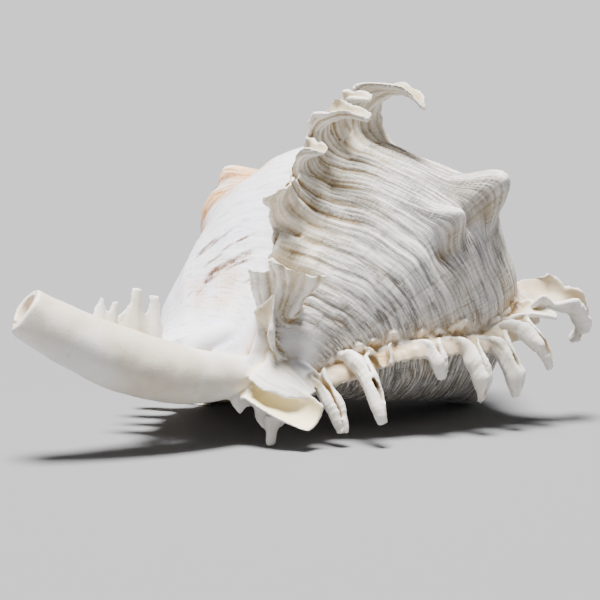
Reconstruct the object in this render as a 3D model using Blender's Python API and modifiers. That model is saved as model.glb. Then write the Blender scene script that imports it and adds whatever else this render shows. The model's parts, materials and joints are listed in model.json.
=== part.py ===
"""Ramose murex: one spiny sea shell, grown as a single piece, resting mouth down.

The shell is worked out in its own frame and then set down as it lies. A growth
angle runs back from 0 at the finished lip to minus several turns at the tip of
the spire. Each growth stage has the same outline, taken as a distance along the
shell's axis and a distance from it, and the outline grows with the angle.
Lengths below are in millimetres and angles in degrees.
"""

import math

import bmesh
import bpy
import numpy as np

OBJECT = "ramose_murex"
NODE = "shell"
# The drawing below is in millimetres for a shell 168 mm long. This one is larger.
SIZE = 1.2
MM = 0.001 * SIZE

# How the shell lies: its axis is turned from the view and drops to the canal.
AXIS_TURN = 50.6
AXIS_DROP = 25.9
LIP_ANGLE = 214.5
AXIS_MIDDLE = 100.0
REST_HEIGHT = 16.4
# The middle of the finished shell's outline seen from above, which becomes the origin.
MIDDLE = (8.17, 22.47, 0.0)

# Growth: natural logarithm of the outline's scale at each growth angle.
GROWTH_ANGLES = (-2160.0, -360.0, -300.0, -240.0, -180.0, -120.0, -60.0, 0.0)
GROWTH_LOGS = (-3.29, -0.44, -0.33, -0.32, -0.29, -0.20, -0.05, 0.04)
FIRST_ANGLE = -1900.0

# The outline: distance along the axis and from it, tip side first.
OUTLINE = (
    (43.0, 0.0),
    (42.0, 20.0),
    (41.0, 33.0),
    (46.0, 43.0),
    (55.0, 50.0),
    (65.0, 50.5),
    (78.0, 47.0),
    (95.0, 39.5),
    (112.0, 29.0),
    (124.0, 19.5),
    (134.0, 12.5),
    (142.0, 8.5),
    (146.0, 0.0),
)

# The hollow of the last turn, as an outline of the same kind.
HOLLOW = (
    (43.0, 37.0),
    (50.0, 43.5),
    (62.0, 46.0),
    (78.0, 43.0),
    (95.0, 35.5),
    (108.0, 26.0),
    (117.0, 17.0),
    (116.0, 10.5),
    (104.0, 9.5),
    (88.0, 13.0),
    (74.0, 21.5),
    (62.0, 29.0),
    (51.0, 35.0),
)
HOLLOW_BACK = -230.0
HOLLOW_OUT = 14.0

# Rounded knobs between the ribs: angle, place along the axis, height, spread
# in angle and spread along the axis.
KNOBS = (
    (-62.0, 56.0, 5.0, 15.0, 10.0),
    (-64.0, 54.0, 9.0, 8.0, 5.5),
    (-178.0, 55.0, 3.0, 16.0, 10.0),
    (-181.0, 54.0, 15.5, 6.8, 5.7),
    (-212.0, 56.0, -5.5, 9.0, 13.0),
    (-194.0, 76.0, 6.5, 6.5, 8.0),
    (-298.0, 56.0, 15.5, 13.0, 9.0),
    (-280.0, 78.0, 4.0, 14.0, 14.0),
    (-420.0, 55.0, 8.0, 14.0, 8.0),
    (-540.0, 55.0, 8.0, 14.0, 8.0),
    (-660.0, 55.0, 8.0, 14.0, 8.0),
)

# A rib's angle shifts a little along the axis: places and shifts in degrees.
RIB_PLACES = (55.0, 78.0, 112.0, 134.0)
NEAR_SHIFT = (9.0, 6.0, 15.0, 14.0)
TOP_SHIFT = (0.0, 4.0, -2.0, 0.0)
RIB_ANGLES = (0.0, -120.0, -240.0, -360.0, -480.0, -600.0, -720.0, -840.0)
RIB_SWELL = 2.6
RIB_WIDTH = 9.0
RIB_STEP = 2.2
STEP_WIDTH = 16.0
# Relief fades to nothing within this distance of the axis.
FLAT_AXIS = 12.0

# The canal leaves the axis and bends up towards the shell's back. Distances run
# along its middle line from where the bend starts.
BEND_START = 66.0
BEND_PLACES = (0.0, 16.0, 32.0, 46.0, 60.0, 75.0, 92.0, 112.0, 124.0)
BEND_ANGLES = (0.0, 4.0, 13.0, 26.0, 39.0, 49.0, 57.0, 67.0, 72.0)
BEND_FROM = -121.0
BEND_OVER = 9.0
CANAL_LENGTH = 112.5
CANAL_SIDE = 118.0
CANAL_FIRST = 42.0
CANAL_RADII = (5.0, 6.2, 7.6, 8.3, 8.1, 7.2, 6.0)
CANAL_BORE = 3.0
CANAL_FLARE = 0.9
CANAL_SLIT = 1.8
CANAL_DEPTH = 14.0

# Towards the canal the lip slants back: by this angle, from this place along the
# axis and over this length, and fading in over the last part of the turn.
LIP_SLANT = 24.0
SLANT_START = 78.0
SLANT_LENGTH = 32.0
SLANT_TURN = 75.0

# The last third of a turn is fuller: heights with their places and spreads along
# the axis, then the angles between which it swells and fades.
LATE_SWELLS = ((10.5, 117.0, 16.0), (2.5, 78.0, 14.0))
LATE_FROM = -112.0
LATE_OVER = 45.0
LATE_END = -42.0
LATE_FADE = 22.0
# The lip itself tucks in again near the canal: depth, place, spread and angle.
LIP_TUCK = 6.0
TUCK_PLACE = 116.0
TUCK_SPREAD = 12.0
TUCK_OVER = 40.0

# The old canal's open end below the rib on top.
OLD_MOUTH_ROOT = (-2.0, -2.0, 17.4)
OLD_MOUTH_END = (3.5, -19.5, 11.4)
OLD_MOUTH_RADII = (8.0, 7.2, 7.2, 7.8, 9.0)
OLD_MOUTH_SQUASH = 0.8
OLD_BOWL_RADII = (2.0, 3.6, 4.4, 5.2, 6.4)
# Where its hollow starts and ends, measured from the root and the end.
OLD_BOWL_ROOT = (2.2, -5.5, -1.9)
OLD_BOWL_END = (0.2, -0.8, -0.3)
# A flange along its upper side: base, then its outward, backward and canalward
# directions.
OLD_FLANGE_FRAME = ((-4.5, -9.0, 19.4), (0.86, -0.36, -0.36), (0.1, -0.62, -0.78), (-0.5, 0.6, -0.6))
OLD_FLANGE_LENGTH = 23.0
OLD_FLANGE_WIDTHS = (4.5, 5.0, 4.5, 2.4)
OLD_FLANGE_LEAN = (0.0, 30.0)
OLD_FLANGE_FOLD = (40, 55, 60)
# A small spine below it, which the shell also rests on.
PRICKLE_ROOT = (-3.0, -14.0, 11.4)
PRICKLE_END = (-3.5, -15.0, -1.0)
PRICKLE_RADII = (3.2, 2.4, 1.6, 1.2)

# Grain of the fused shell, its number of facets, and the side and depth in metres
# of the block that trims its resting points.
VOXEL = 0.75
TRIANGLES = 9600
GROUND = (0.4, 0.04)


def shell_axes():
    turn = math.radians(AXIS_TURN)
    drop = math.radians(AXIS_DROP)
    along = np.array(
        (
            -math.cos(drop) * math.cos(turn),
            -math.cos(drop) * math.sin(turn),
            -math.sin(drop),
        )
    )
    side = np.array((math.sin(turn), -math.cos(turn), 0.0))
    return along, side, np.cross(along, side)


ALONG, SIDE, OVER = shell_axes()


def smooth_curve(points, count):
    """Run a Catmull-Rom curve through the points and give evenly spaced samples."""
    p = np.asarray(points, dtype=float)
    p = np.vstack((2 * p[0] - p[1], p, 2 * p[-1] - p[-2]))
    out = []
    for i in range(1, len(p) - 2):
        t = np.linspace(0.0, 1.0, 24, endpoint=False)[:, None]
        a = 2 * p[i]
        b = p[i + 1] - p[i - 1]
        c = 2 * p[i - 1] - 5 * p[i] + 4 * p[i + 1] - p[i + 2]
        d = 3 * p[i] - p[i - 1] - 3 * p[i + 1] + p[i + 2]
        out.append(0.5 * (a + b * t + c * t**2 + d * t**3))
    out.append(p[-2][None])
    curve = np.vstack(out)
    steps = np.linalg.norm(np.diff(curve, axis=0), axis=1)
    length = np.concatenate(((0.0,), np.cumsum(steps)))
    at = np.linspace(0.0, length[-1], count)
    return np.stack([np.interp(at, length, curve[:, k]) for k in range(curve.shape[1])], axis=1)


def growth_table():
    """Scale of the outline at each degree of growth, with its knots rounded off."""
    angles = np.arange(-2160.0, 121.0, 1.0)
    logs = np.interp(angles, GROWTH_ANGLES, GROWTH_LOGS)
    late = angles > 0.0
    logs[late] = GROWTH_LOGS[-1] + angles[late] * 0.0009
    window = np.exp(-0.5 * (np.arange(-60, 61) / 22.0) ** 2)
    window /= window.sum()
    padded = np.pad(logs, 60, mode="reflect", reflect_type="odd")
    return angles, np.convolve(padded, window, mode="valid")


GROWTH = growth_table()


def scale_at(theta):
    return np.exp(np.interp(theta, *GROWTH))


def bell(value, middle, spread):
    return np.exp(-0.5 * ((value - middle) / spread) ** 2)


def place(theta, along, out):
    """World position of points given by growth angle, axis place and radius in mm."""
    theta = np.asarray(theta, dtype=float)
    slant = np.clip((np.asarray(along) - SLANT_START) / SLANT_LENGTH, 0.0, 1.0)
    slant = slant * np.clip((theta + SLANT_TURN) / SLANT_TURN, 0.0, 1.0)
    phi = np.radians(LIP_ANGLE + theta - LIP_SLANT * slant)
    radial = np.cos(phi)[..., None] * SIDE + np.sin(phi)[..., None] * OVER
    along = np.asarray(along, dtype=float)[..., None]
    out = np.asarray(out, dtype=float)[..., None]
    straight = (along - AXIS_MIDDLE) * ALONG + out * radial + np.array((0.0, 0.0, REST_HEIGHT))
    far = np.clip(along[..., 0] - BEND_START, 0.0, BEND[0][-1])
    raised = (radial @ BEND[4])[..., None] * along_bend(far, BEND[3])
    turned = raised + (radial @ BEND[5])[..., None] * BEND[5]
    bent = along_bend(far, BEND[1]) + out * turned
    share = np.clip((theta - BEND_FROM) / BEND_OVER, 0.0, 1.0)[..., None] * (along > BEND_START)
    share = share * share * (3.0 - 2.0 * share)
    return straight + share * (bent - straight)


def bend_table():
    """Middle line of the bent canal with its dorsal direction, each 1 mm."""
    far = np.arange(0.0, CANAL_LENGTH + 40.0, 1.0)
    bend = np.interp(far, BEND_PLACES, BEND_ANGLES)
    window = np.exp(-0.5 * (np.arange(-15, 16) / 5.0) ** 2)
    padded = np.pad(bend, 15, mode="reflect", reflect_type="odd")
    bend = np.convolve(padded, window / window.sum(), mode="valid")
    bend = np.radians(bend)
    side = math.radians(CANAL_SIDE)
    dorsal = math.cos(side) * SIDE + math.sin(side) * OVER
    heading = np.cos(bend)[:, None] * ALONG + np.sin(bend)[:, None] * dorsal
    up = np.cos(bend)[:, None] * dorsal - np.sin(bend)[:, None] * ALONG
    walk = np.cumsum(0.5 * (heading[1:] + heading[:-1]), axis=0)
    start = (BEND_START - AXIS_MIDDLE) * ALONG + np.array((0.0, 0.0, REST_HEIGHT))
    line = np.vstack((start[None], start + walk))
    return far, line, heading, up, dorsal, np.cross(ALONG, dorsal)


BEND = bend_table()


def along_bend(far, rows):
    return np.stack([np.interp(far, BEND[0], rows[:, k]) for k in range(3)], axis=-1)


def rib_shift(angle, z):
    shift = {-240.0: NEAR_SHIFT, -120.0: TOP_SHIFT}.get(angle, (0.0, 0.0, 0.0, 0.0))
    return np.interp(z, RIB_PLACES, shift)


def relief(theta, z, r):
    """Extra radius in mm of knobs, ribs and the step after each rib."""
    theta, z = np.broadcast_arrays(theta, z)
    extra = np.zeros(theta.shape)
    for angle, where, height, wide, long in KNOBS:
        extra += height * bell(theta, angle, wide) * bell(z, where, long)
    for angle in RIB_ANGLES:
        there = theta - rib_shift(angle, z)
        before = np.clip(angle - there, 0.0, None)
        after = np.clip(there - angle, 0.0, None)
        rib = np.where(there <= angle, RIB_SWELL * np.exp(-((before / RIB_WIDTH) ** 2)), 0.0)
        step = np.where(there > angle, -RIB_STEP * np.exp(-after / STEP_WIDTH), 0.0)
        extra += (rib + step) * np.clip(scale_at(angle), 0.15, 1.0)
    late = np.clip((theta - LATE_FROM) / LATE_OVER, 0.0, 1.0)
    late = late * bell(np.clip(theta, LATE_END, None), LATE_END, LATE_FADE)
    for height, where, long in LATE_SWELLS:
        extra += late * height * bell(z, where, long)
    extra -= LIP_TUCK * bell(z, TUCK_PLACE, TUCK_SPREAD) * np.clip(theta / TUCK_OVER + 1.0, 0.0, 1.0)
    return extra * np.clip(r / FLAT_AXIS, 0.0, 1.0)


def surface(theta, outline):
    """World positions of an outline at growth angles, with its relief."""
    theta = np.asarray(theta, dtype=float)[:, None]
    z = outline[None, :, 0]
    r = outline[None, :, 1]
    s = scale_at(theta)
    return place(theta + 0.0 * z, z * s, r * s + relief(theta, z, r) * np.clip(s, 0.0, 1.0))


def mesh_object(name, verts, faces, collection):
    mesh = bpy.data.meshes.new(name)
    mesh.from_pydata([tuple(v) for v in (np.asarray(verts) - MIDDLE) * MM], [], faces)
    mesh.update()
    made = bpy.data.objects.new(name, mesh)
    collection.objects.link(made)
    return made


def loft(name, rings, collection):
    """Close a stack of equal rings into a solid with flat ends, facing outward."""
    count, size = rings.shape[:2]
    faces = []
    for i in range(count - 1):
        for j in range(size):
            k = (j + 1) % size
            faces.append((i * size + j, i * size + k, (i + 1) * size + k, (i + 1) * size + j))
    faces.append(tuple(reversed(range(size))))
    faces.append(tuple(range((count - 1) * size, count * size)))
    made = mesh_object(name, rings.reshape(-1, 3), faces, collection)
    bm = bmesh.new()
    bm.from_mesh(made.data)
    bmesh.ops.recalc_face_normals(bm, faces=bm.faces)
    if bm.calc_volume(signed=True) < 0.0:
        bmesh.ops.reverse_faces(bm, faces=bm.faces)
    bm.to_mesh(made.data)
    bm.free()
    return made


def body(collection):
    theta = np.concatenate((np.arange(FIRST_ANGLE, -720.0, 9.0), np.arange(-720.0, 0.1, 3.0)))
    return loft("body", surface(theta, smooth_curve(OUTLINE, 90)), collection)


def hollow(collection):
    ring = smooth_curve(HOLLOW + HOLLOW[:1], 49)[:-1]
    theta = np.arange(HOLLOW_BACK, HOLLOW_OUT + 0.1, 4.0)
    middle = ring.mean(axis=0)
    rings = []
    for t in theta:
        close = min(1.0, math.sqrt(max(0.0, (t - HOLLOW_BACK) / 40.0)) + 0.05)
        part = middle + (ring - middle) * close
        s = scale_at(t)
        rings.append(place(np.full(len(part), t), part[:, 0] * s, part[:, 1] * s))
    return loft("hollow", np.array(rings), collection)


def canal_line(count, start=CANAL_FIRST, stop=CANAL_LENGTH):
    """Points spread along the canal, with the directions up and across it."""
    far = np.linspace(start, stop, count)
    return far, along_bend(far, BEND[1]), along_bend(far, BEND[3]), BEND[5]


def tube(name, line, up, across, radii, sides, collection, squash=1.0):
    a = np.linspace(0.0, 2 * math.pi, sides, endpoint=False)
    ring = np.cos(a)[None, :, None] * up[:, None, :] * squash + np.sin(a)[None, :, None] * across
    return loft(name, line[:, None, :] + ring * np.asarray(radii)[:, None, None], collection)


def canal(collection):
    far, line, up, across = canal_line(60)
    radii = np.interp(far, np.linspace(CANAL_FIRST, CANAL_LENGTH, len(CANAL_RADII)), CANAL_RADII)
    return tube("canal", line, up, across, radii, 36, collection)


def canal_bore(collection):
    far, line, up, across = canal_line(50, CANAL_FIRST + 4.0, CANAL_LENGTH + 3.0)
    radii = CANAL_BORE + CANAL_FLARE * ((far - far[0]) / (far[-1] - far[0])) ** 4
    return tube("canal_bore", line, up, across, radii, 20, collection)


def canal_slit(collection):
    """Narrow opening along the canal's mouth side, from its bore out to the air."""
    far, line, up, across = canal_line(40, CANAL_FIRST + 4.0, CANAL_LENGTH + 3.0)
    half = 0.5 * CANAL_SLIT * across
    deep = up * CANAL_DEPTH
    rings = [(p + half, p - half, p - half - d, p + half - d) for p, d in zip(line, deep)]
    return loft("canal_slit", np.array(rings), collection)


def frame_at(theta, z):
    """Place on the body with its outward, backward and canalward directions."""
    outline = smooth_curve(OUTLINE, 400)
    keep = outline[:, 1] > 5.0
    z_all = outline[keep, 0]
    r_all = outline[keep, 1]
    low = np.argmax(z_all > 41.5)
    below, r, above = np.interp((z - 1.5, z, z + 1.5), z_all[low:], r_all[low:])
    rise = (above - below) / 3.0
    s = float(scale_at(theta))
    spot = place(theta, z * s, r * s + float(relief(theta, z, r)) * min(s, 1.0))
    phi = math.radians(LIP_ANGLE + theta)
    radial = math.cos(phi) * SIDE + math.sin(phi) * OVER
    back = math.sin(phi) * SIDE - math.cos(phi) * OVER
    out = radial - rise * ALONG
    out /= np.linalg.norm(out)
    down = np.cross(out, back)
    if down @ ALONG < 0.0:
        down = -down
    return spot, out, back, down


def frond(name, frame, length, widths, lean, fold, collection,
          drift=0.0, twist=(0.0, 0.0), size=1.0):
    """A folded spine: a ribbed sheet that curls back, with its slit in front."""
    base, out, back, down = frame
    rows = max(8, int(length / SPINE_ROW))
    s = np.linspace(0.0, 1.0, rows)
    lean_all = np.radians(lean[0] + (lean[1] - lean[0]) * s**SPINE_CURL)
    heading = np.cos(lean_all)[:, None] * out + np.sin(lean_all)[:, None] * back
    heading += (drift * s)[:, None] * down
    heading /= np.linalg.norm(heading, axis=1)[:, None]
    walk = np.cumsum(heading * (length / (rows - 1)), axis=0)
    line = base - out * SPINE_ROOT * size + np.vstack((np.zeros(3), walk[:-1]))
    concave = -np.sin(lean_all)[:, None] * out + np.cos(lean_all)[:, None] * back
    cross = np.cross(heading, concave)
    cross *= np.sign(np.sum(cross * down, axis=1))[:, None]
    turn = np.radians(twist[0] + (twist[1] - twist[0]) * s)
    face = np.cos(turn)[:, None] * concave + np.sin(turn)[:, None] * cross
    cross = np.cos(turn)[:, None] * cross - np.sin(turn)[:, None] * concave
    places = np.linspace(0.0, 1.0, len(widths))
    half = np.interp(s, places, widths)
    arc = np.radians(np.interp(s, (0.0, 0.35, 1.0), fold))
    q = np.linspace(-1.0, 1.0, 13)
    rings = []
    for i in range(rows):
        bend = half[i] / arc[i]
        wall = min(SPINE_WALL * max(size, SPINE_THINNEST), half[i] * 0.9)
        outer_r = bend + SPINE_RIPPLE * half[i] * np.cos(q * SPINE_RIBS * math.pi)
        inner_r = np.full(len(q), max(bend - wall, 0.1))
        radius = np.concatenate((outer_r, inner_r[::-1]))
        turned = arc[i] * np.concatenate((q, q[::-1]))
        x = radius * np.sin(turned)
        y = bend - radius * np.cos(turned)
        rings.append(line[i] + x[:, None] * cross[i] - y[:, None] * face[i])
    return loft(name, np.array(rings), collection)


# A spine: length of one row, how late it curls, depth of its root, thickness,
# least share of that thickness, and the height and number of its grooves.
SPINE_ROW = 1.6
SPINE_CURL = 1.25
SPINE_ROOT = 3.0
SPINE_WALL = 1.9
SPINE_THINNEST = 0.74
SPINE_RIPPLE = 0.12
SPINE_RIBS = 3

# The spines of each rib from the shoulder to the canal: place along the axis,
# length, half widths from root to tip, lean back at root and tip, fold of the
# sheet at root, above the root and at the tip, drift towards the canal, twist at
# root and tip, and the angle at which it stands behind the rib's edge.
TOP_RIB = (
    (52.7, 33.0, (12.0, 10.2, 7.0, 5.0, 3.1, 0.8), (18.0, 138.0), (45, 70, 85), -0.15, (0, 0), -2.0),
    (60.0, 22.0, (6.5, 6.0, 4.4, 1.0), (10.0, 115.0), (40, 70, 85), 0.0, (0, 0), -2.0),
    (67.0, 22.0, (6.5, 6.0, 4.8, 1.2), (5.0, 110.0), (40, 70, 85), 0.0, (10, 10), -2.0),
    (75.0, 19.0, (6.0, 6.0, 5.6, 2.0), (10.0, 85.0), (40, 60, 60), 0.0, (15, 20), -3.0),
    (84.0, 17.0, (5.5, 6.0, 6.0, 2.4), (10.0, 60.0), (40, 60, 55), 0.0, (20, 30), -4.0),
    (95.0, 23.0, (6.0, 6.5, 6.5, 2.0), (0.0, 35.0), (40, 60, 55), -0.1, (25, 40), -5.0),
    (107.0, 15.0, (5.0, 5.5, 5.0, 1.6), (0.0, 45.0), (40, 60, 60), 0.0, (20, 35), -5.0),
    (116.0, 27.0, (6.5, 8.5, 11.0, 12.5, 8.0), (12.0, 42.0), (50, 60, 42), 0.0, (30, 50), -15.0),
)
NEAR_RIB = (
    (53.0, 33.0, (8.0, 7.0, 5.5, 4.2, 2.6, 1.0), (-18.0, 125.0), (35, 60, 80), -0.2, (0, 0), -2.0),
    (59.0, 15.0, (4.5, 3.6, 2.4, 0.8), (-5.0, 60.0), (40, 75, 90), 0.0, (0, 0), -2.0),
    (66.0, 24.0, (5.0, 4.0, 3.2, 1.2), (0.0, 80.0), (45, 80, 100), 0.0, (0, 0), -2.0),
    (77.0, 24.0, (5.0, 4.0, 3.2, 1.2), (5.0, 90.0), (45, 80, 100), 0.0, (0, 0), -2.0),
    (88.0, 22.0, (4.6, 3.8, 3.0, 1.2), (5.0, 90.0), (45, 80, 100), 0.0, (0, 0), -2.0),
    (99.0, 14.0, (4.0, 3.4, 2.8, 1.2), (5.0, 85.0), (45, 80, 100), 0.0, (0, 0), -2.0),
    (107.0, 9.0, (3.6, 3.4, 3.0, 2.4), (5.0, 80.0), (45, 70, 90), 0.0, (0, 0), -2.0),
    (114.0, 10.0, (4.4, 4.4, 4.2, 3.4), (5.0, 80.0), (45, 80, 110), 0.0, (0, 0), -2.0),
    (123.0, 23.0, (4.6, 3.8, 3.4, 1.3), (-5.0, 60.0), (45, 80, 100), 0.1, (0, 0), -2.0),
    (131.0, 19.0, (4.4, 3.6, 3.2, 1.3), (10.0, 70.0), (45, 80, 100), 0.2, (0, 0), -2.0),
)
LIP_RIB = (
    (53.0, 36.0, (8.0, 7.0, 5.0, 3.8, 2.6, 0.9), (10.0, 125.0), (35, 60, 80), -0.1, (0, 0), -2.0),
    (60.0, 19.0, (4.6, 3.6, 2.6, 0.9), (20.0, 105.0), (40, 75, 90), 0.0, (0, 0), -2.0),
    (68.0, 25.0, (5.5, 4.4, 3.4, 1.0), (25.0, 110.0), (40, 75, 90), 0.0, (0, 0), -2.0),
    (79.0, 24.0, (5.5, 4.4, 3.4, 1.0), (30.0, 110.0), (40, 75, 90), 0.0, (0, 0), -2.0),
    (90.0, 24.0, (5.5, 4.4, 3.4, 1.0), (35.0, 115.0), (40, 75, 90), 0.0, (0, 0), -2.0),
    (101.0, 22.0, (5.0, 4.2, 3.2, 1.0), (40.0, 115.0), (40, 75, 90), 0.0, (0, 0), -2.0),
    (111.0, 20.0, (5.0, 4.2, 3.2, 1.0), (45.0, 110.0), (40, 75, 90), 0.0, (0, 0), -2.0),
    (121.0, 18.0, (4.6, 4.0, 3.2, 1.0), (55.0, 105.0), (40, 75, 90), 0.0, (0, 0), -2.0),
)
# Spines where the lip runs on along the canal: distance along the bend, length,
# half widths and lean. Their fold is the same, and they stand off the middle line.
CANAL_SPINES = (
    (70.0, 28.0, (4.6, 4.2, 3.4, 1.2), (70.0, 96.0)),
    (79.0, 29.0, (4.4, 4.0, 3.0, 1.1), (70.0, 96.0)),
    (88.0, 23.0, (3.6, 3.0, 2.4, 0.9), (70.0, 96.0)),
)
CANAL_FOLD = (40, 75, 90)
CANAL_ROOT = 6.5
# One shoulder spine on each older rib: angle and length at full size, with their
# shared half widths, lean and fold.
OLD_RIBS = ((-360.0, 24.0), (-480.0, 7.0), (-600.0, 24.0), (-720.0, 22.0), (-840.0, 20.0))
OLD_WIDTHS = (8.0, 7.0, 5.0, 3.8, 2.4, 1.3)
OLD_LEAN = (0.0, 110.0)
OLD_FOLD = (35, 60, 80)
SHOULDER = 53.0


# The edge between a rib's spines: where it starts along the axis, then for each
# rib its angle, where it ends and how far it reaches.
COLLAR_FIRST = 50.0
COLLARS = ((-120.0, 131.0, 8.0), (-240.0, 133.0, 6.5), (0.0, 126.0, 6.0))
COLLAR_WAVES = 9
COLLAR_WAVE = 0.22
COLLAR_WALL = 2.7
COLLAR_TAPER = 0.45
COLLAR_ROOT = 3.0
COLLAR_LEAN = (5.0, 75.0)


def collar(angle, last, reach, collection):
    """The thrown-back edge that runs along a rib between its spines."""
    s = np.linspace(0.0, 1.0, 7)
    lean = np.radians(np.interp(s, (0.0, 1.0), COLLAR_LEAN))[:, None]
    half = 0.5 * COLLAR_WALL * (1.0 - COLLAR_TAPER * s)[:, None]
    rings = []
    for share in np.linspace(0.0, 1.0, 46):
        z = COLLAR_FIRST + share * (last - COLLAR_FIRST)
        base, out, back, _ = frame_at(angle - 1.0 + float(rib_shift(angle, z)), z)
        wave = 1.0 - COLLAR_WAVE + COLLAR_WAVE * math.cos(share * COLLAR_WAVES * 2 * math.pi)
        long = reach * wave * min(1.0, share * 8.0, (1.0 - share) * 8.0 + 0.3) + COLLAR_ROOT
        heading = np.cos(lean) * out + np.sin(lean) * back
        normal = np.cos(lean) * back - np.sin(lean) * out
        walk = np.cumsum(heading[:-1] * long / (len(s) - 1), axis=0)
        line = base - out * COLLAR_ROOT + np.vstack((np.zeros(3), walk))
        rings.append(np.vstack((line + normal * half, (line - normal * half)[::-1])))
    return loft(f"collar_{int(-angle)}", np.array(rings), collection)


def cone(name, start, end, radii, sides, collection, squash=1.0):
    start = np.asarray(start, dtype=float)
    end = np.asarray(end, dtype=float)
    axis = (end - start) / np.linalg.norm(end - start)
    level = np.cross(axis, (0.0, 0.0, 1.0))
    level = level / np.linalg.norm(level) if np.linalg.norm(level) > 0.1 else np.array((1.0, 0.0, 0.0))
    up = np.cross(level, axis)
    line = start + (end - start) * np.linspace(0.0, 1.0, len(radii))[:, None]
    return tube(name, line, np.tile(up, (len(radii), 1)), level, radii, sides, collection, squash)


def old_mouth(collection):
    """The open end of the canal that belonged to the rib on top."""
    flange = [np.array(v) for v in OLD_FLANGE_FRAME]
    return [
        cone("old_canal", OLD_MOUTH_ROOT, OLD_MOUTH_END, OLD_MOUTH_RADII, 28, collection, OLD_MOUTH_SQUASH),
        frond("old_flange", flange, OLD_FLANGE_LENGTH, OLD_FLANGE_WIDTHS, OLD_FLANGE_LEAN, OLD_FLANGE_FOLD,
              collection),
        cone("prickle", PRICKLE_ROOT, PRICKLE_END, PRICKLE_RADII, 12, collection),
    ]


def old_bowl(collection):
    """The hollow in that open end."""
    start = np.array(OLD_MOUTH_ROOT) + OLD_BOWL_ROOT
    end = np.array(OLD_MOUTH_END) + OLD_BOWL_END
    return cone("old_bowl", start, end, OLD_BOWL_RADII, 24, collection, OLD_MOUTH_SQUASH)


def canal_frame(far):
    """Place on the canal's lip side with its outward, backward and endward directions."""
    up = along_bend(far, BEND[3])
    phi = math.radians(LIP_ANGLE)
    radial = math.cos(phi) * SIDE + math.sin(phi) * OVER
    out = (radial @ BEND[4]) * up + (radial @ BEND[5]) * BEND[5]
    heading = along_bend(far, BEND[2])
    back = np.cross(heading, out)
    back *= np.sign(back @ up)
    return along_bend(far, BEND[1]) + out * CANAL_ROOT, out, back, heading


def canal_spines(collection):
    return [
        frond(f"canal_spine_{int(far)}", canal_frame(far), length, widths, lean, CANAL_FOLD, collection)
        for far, length, widths, lean in CANAL_SPINES
    ]


def rib_spines(angle, rib, collection):
    made = []
    for k, (z, length, widths, lean, fold, drift, twist, shift) in enumerate(rib):
        frame = frame_at(angle + shift + float(rib_shift(angle, z)), z)
        name = f"frond_{int(-angle)}_{k}"
        made.append(frond(name, frame, length, widths, lean, fold, collection, drift=drift, twist=twist))
    return made


def old_spines(collection):
    made = []
    for angle, length in OLD_RIBS:
        size = float(scale_at(angle))
        frame = frame_at(angle - 2.0, SHOULDER)
        widths = np.multiply(OLD_WIDTHS, size)
        name = f"frond_old_{int(-angle)}"
        made.append(frond(name, frame, length * size, widths, OLD_LEAN, OLD_FOLD, collection, size=size))
    return made


def join(name, parts, collection):
    verts = []
    faces = []
    for part in parts:
        start = len(verts)
        verts.extend(tuple(v.co) for v in part.data.vertices)
        faces.extend(tuple(start + i for i in p.vertices) for p in part.data.polygons)
        bpy.data.objects.remove(part)
    mesh = bpy.data.meshes.new(name)
    mesh.from_pydata(verts, [], faces)
    made = bpy.data.objects.new(name, mesh)
    collection.objects.link(made)
    return made


def settle(thing):
    """Give the mesh that an object's modifiers make, without any loose specks."""
    bpy.context.view_layer.update()
    mesh = bpy.data.meshes.new_from_object(thing.evaluated_get(bpy.context.evaluated_depsgraph_get()))
    count = len(mesh.vertices)
    edges = np.empty(len(mesh.edges) * 2, dtype=np.int64)
    mesh.edges.foreach_get("vertices", edges)
    first, second = edges.reshape(-1, 2).T
    label = np.arange(count)
    while True:
        low = np.minimum(label[first], label[second])
        new = label.copy()
        np.minimum.at(new, first, low)
        np.minimum.at(new, second, low)
        new = new[new]
        if np.array_equal(new, label):
            break
        label = new
    main_label = np.bincount(label).argmax()
    bm = bmesh.new()
    bm.from_mesh(mesh)
    bm.verts.ensure_lookup_table()
    loose = [bm.verts[i] for i in np.flatnonzero(label != main_label)]
    bmesh.ops.delete(bm, geom=loose, context="VERTS")
    bm.to_mesh(mesh)
    bm.free()
    return mesh


def modifier(thing, name, kind, **settings):
    made = thing.modifiers.new(name, kind)
    for key, value in settings.items():
        setattr(made, key, value)
    return made


def cut(thing, cutter):
    cutter.hide_render = True
    cutter.display_type = "WIRE"
    modifier(thing, "Cut " + cutter.name, "BOOLEAN", operation="DIFFERENCE", solver="EXACT", object=cutter)


def ground(collection):
    """Block under the shell that trims what reaches below the surface it rests on."""
    side, deep = GROUND
    bpy.ops.mesh.primitive_cube_add(size=1.0, location=(0.0, 0.0, -0.5 * deep))
    block = bpy.context.object
    block.name = "ground"
    block.scale = (side, side, deep)
    for where in list(block.users_collection):
        where.objects.unlink(block)
    collection.objects.link(block)
    return block


def shell_material():
    material = bpy.data.materials.new("shell_ceramic")
    material.use_nodes = True
    inputs = material.node_tree.nodes["Principled BSDF"].inputs
    inputs["Base Color"].default_value = (0.80, 0.77, 0.70, 1.0)
    inputs["Roughness"].default_value = 0.5
    inputs["Metallic"].default_value = 0.0
    return material


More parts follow.
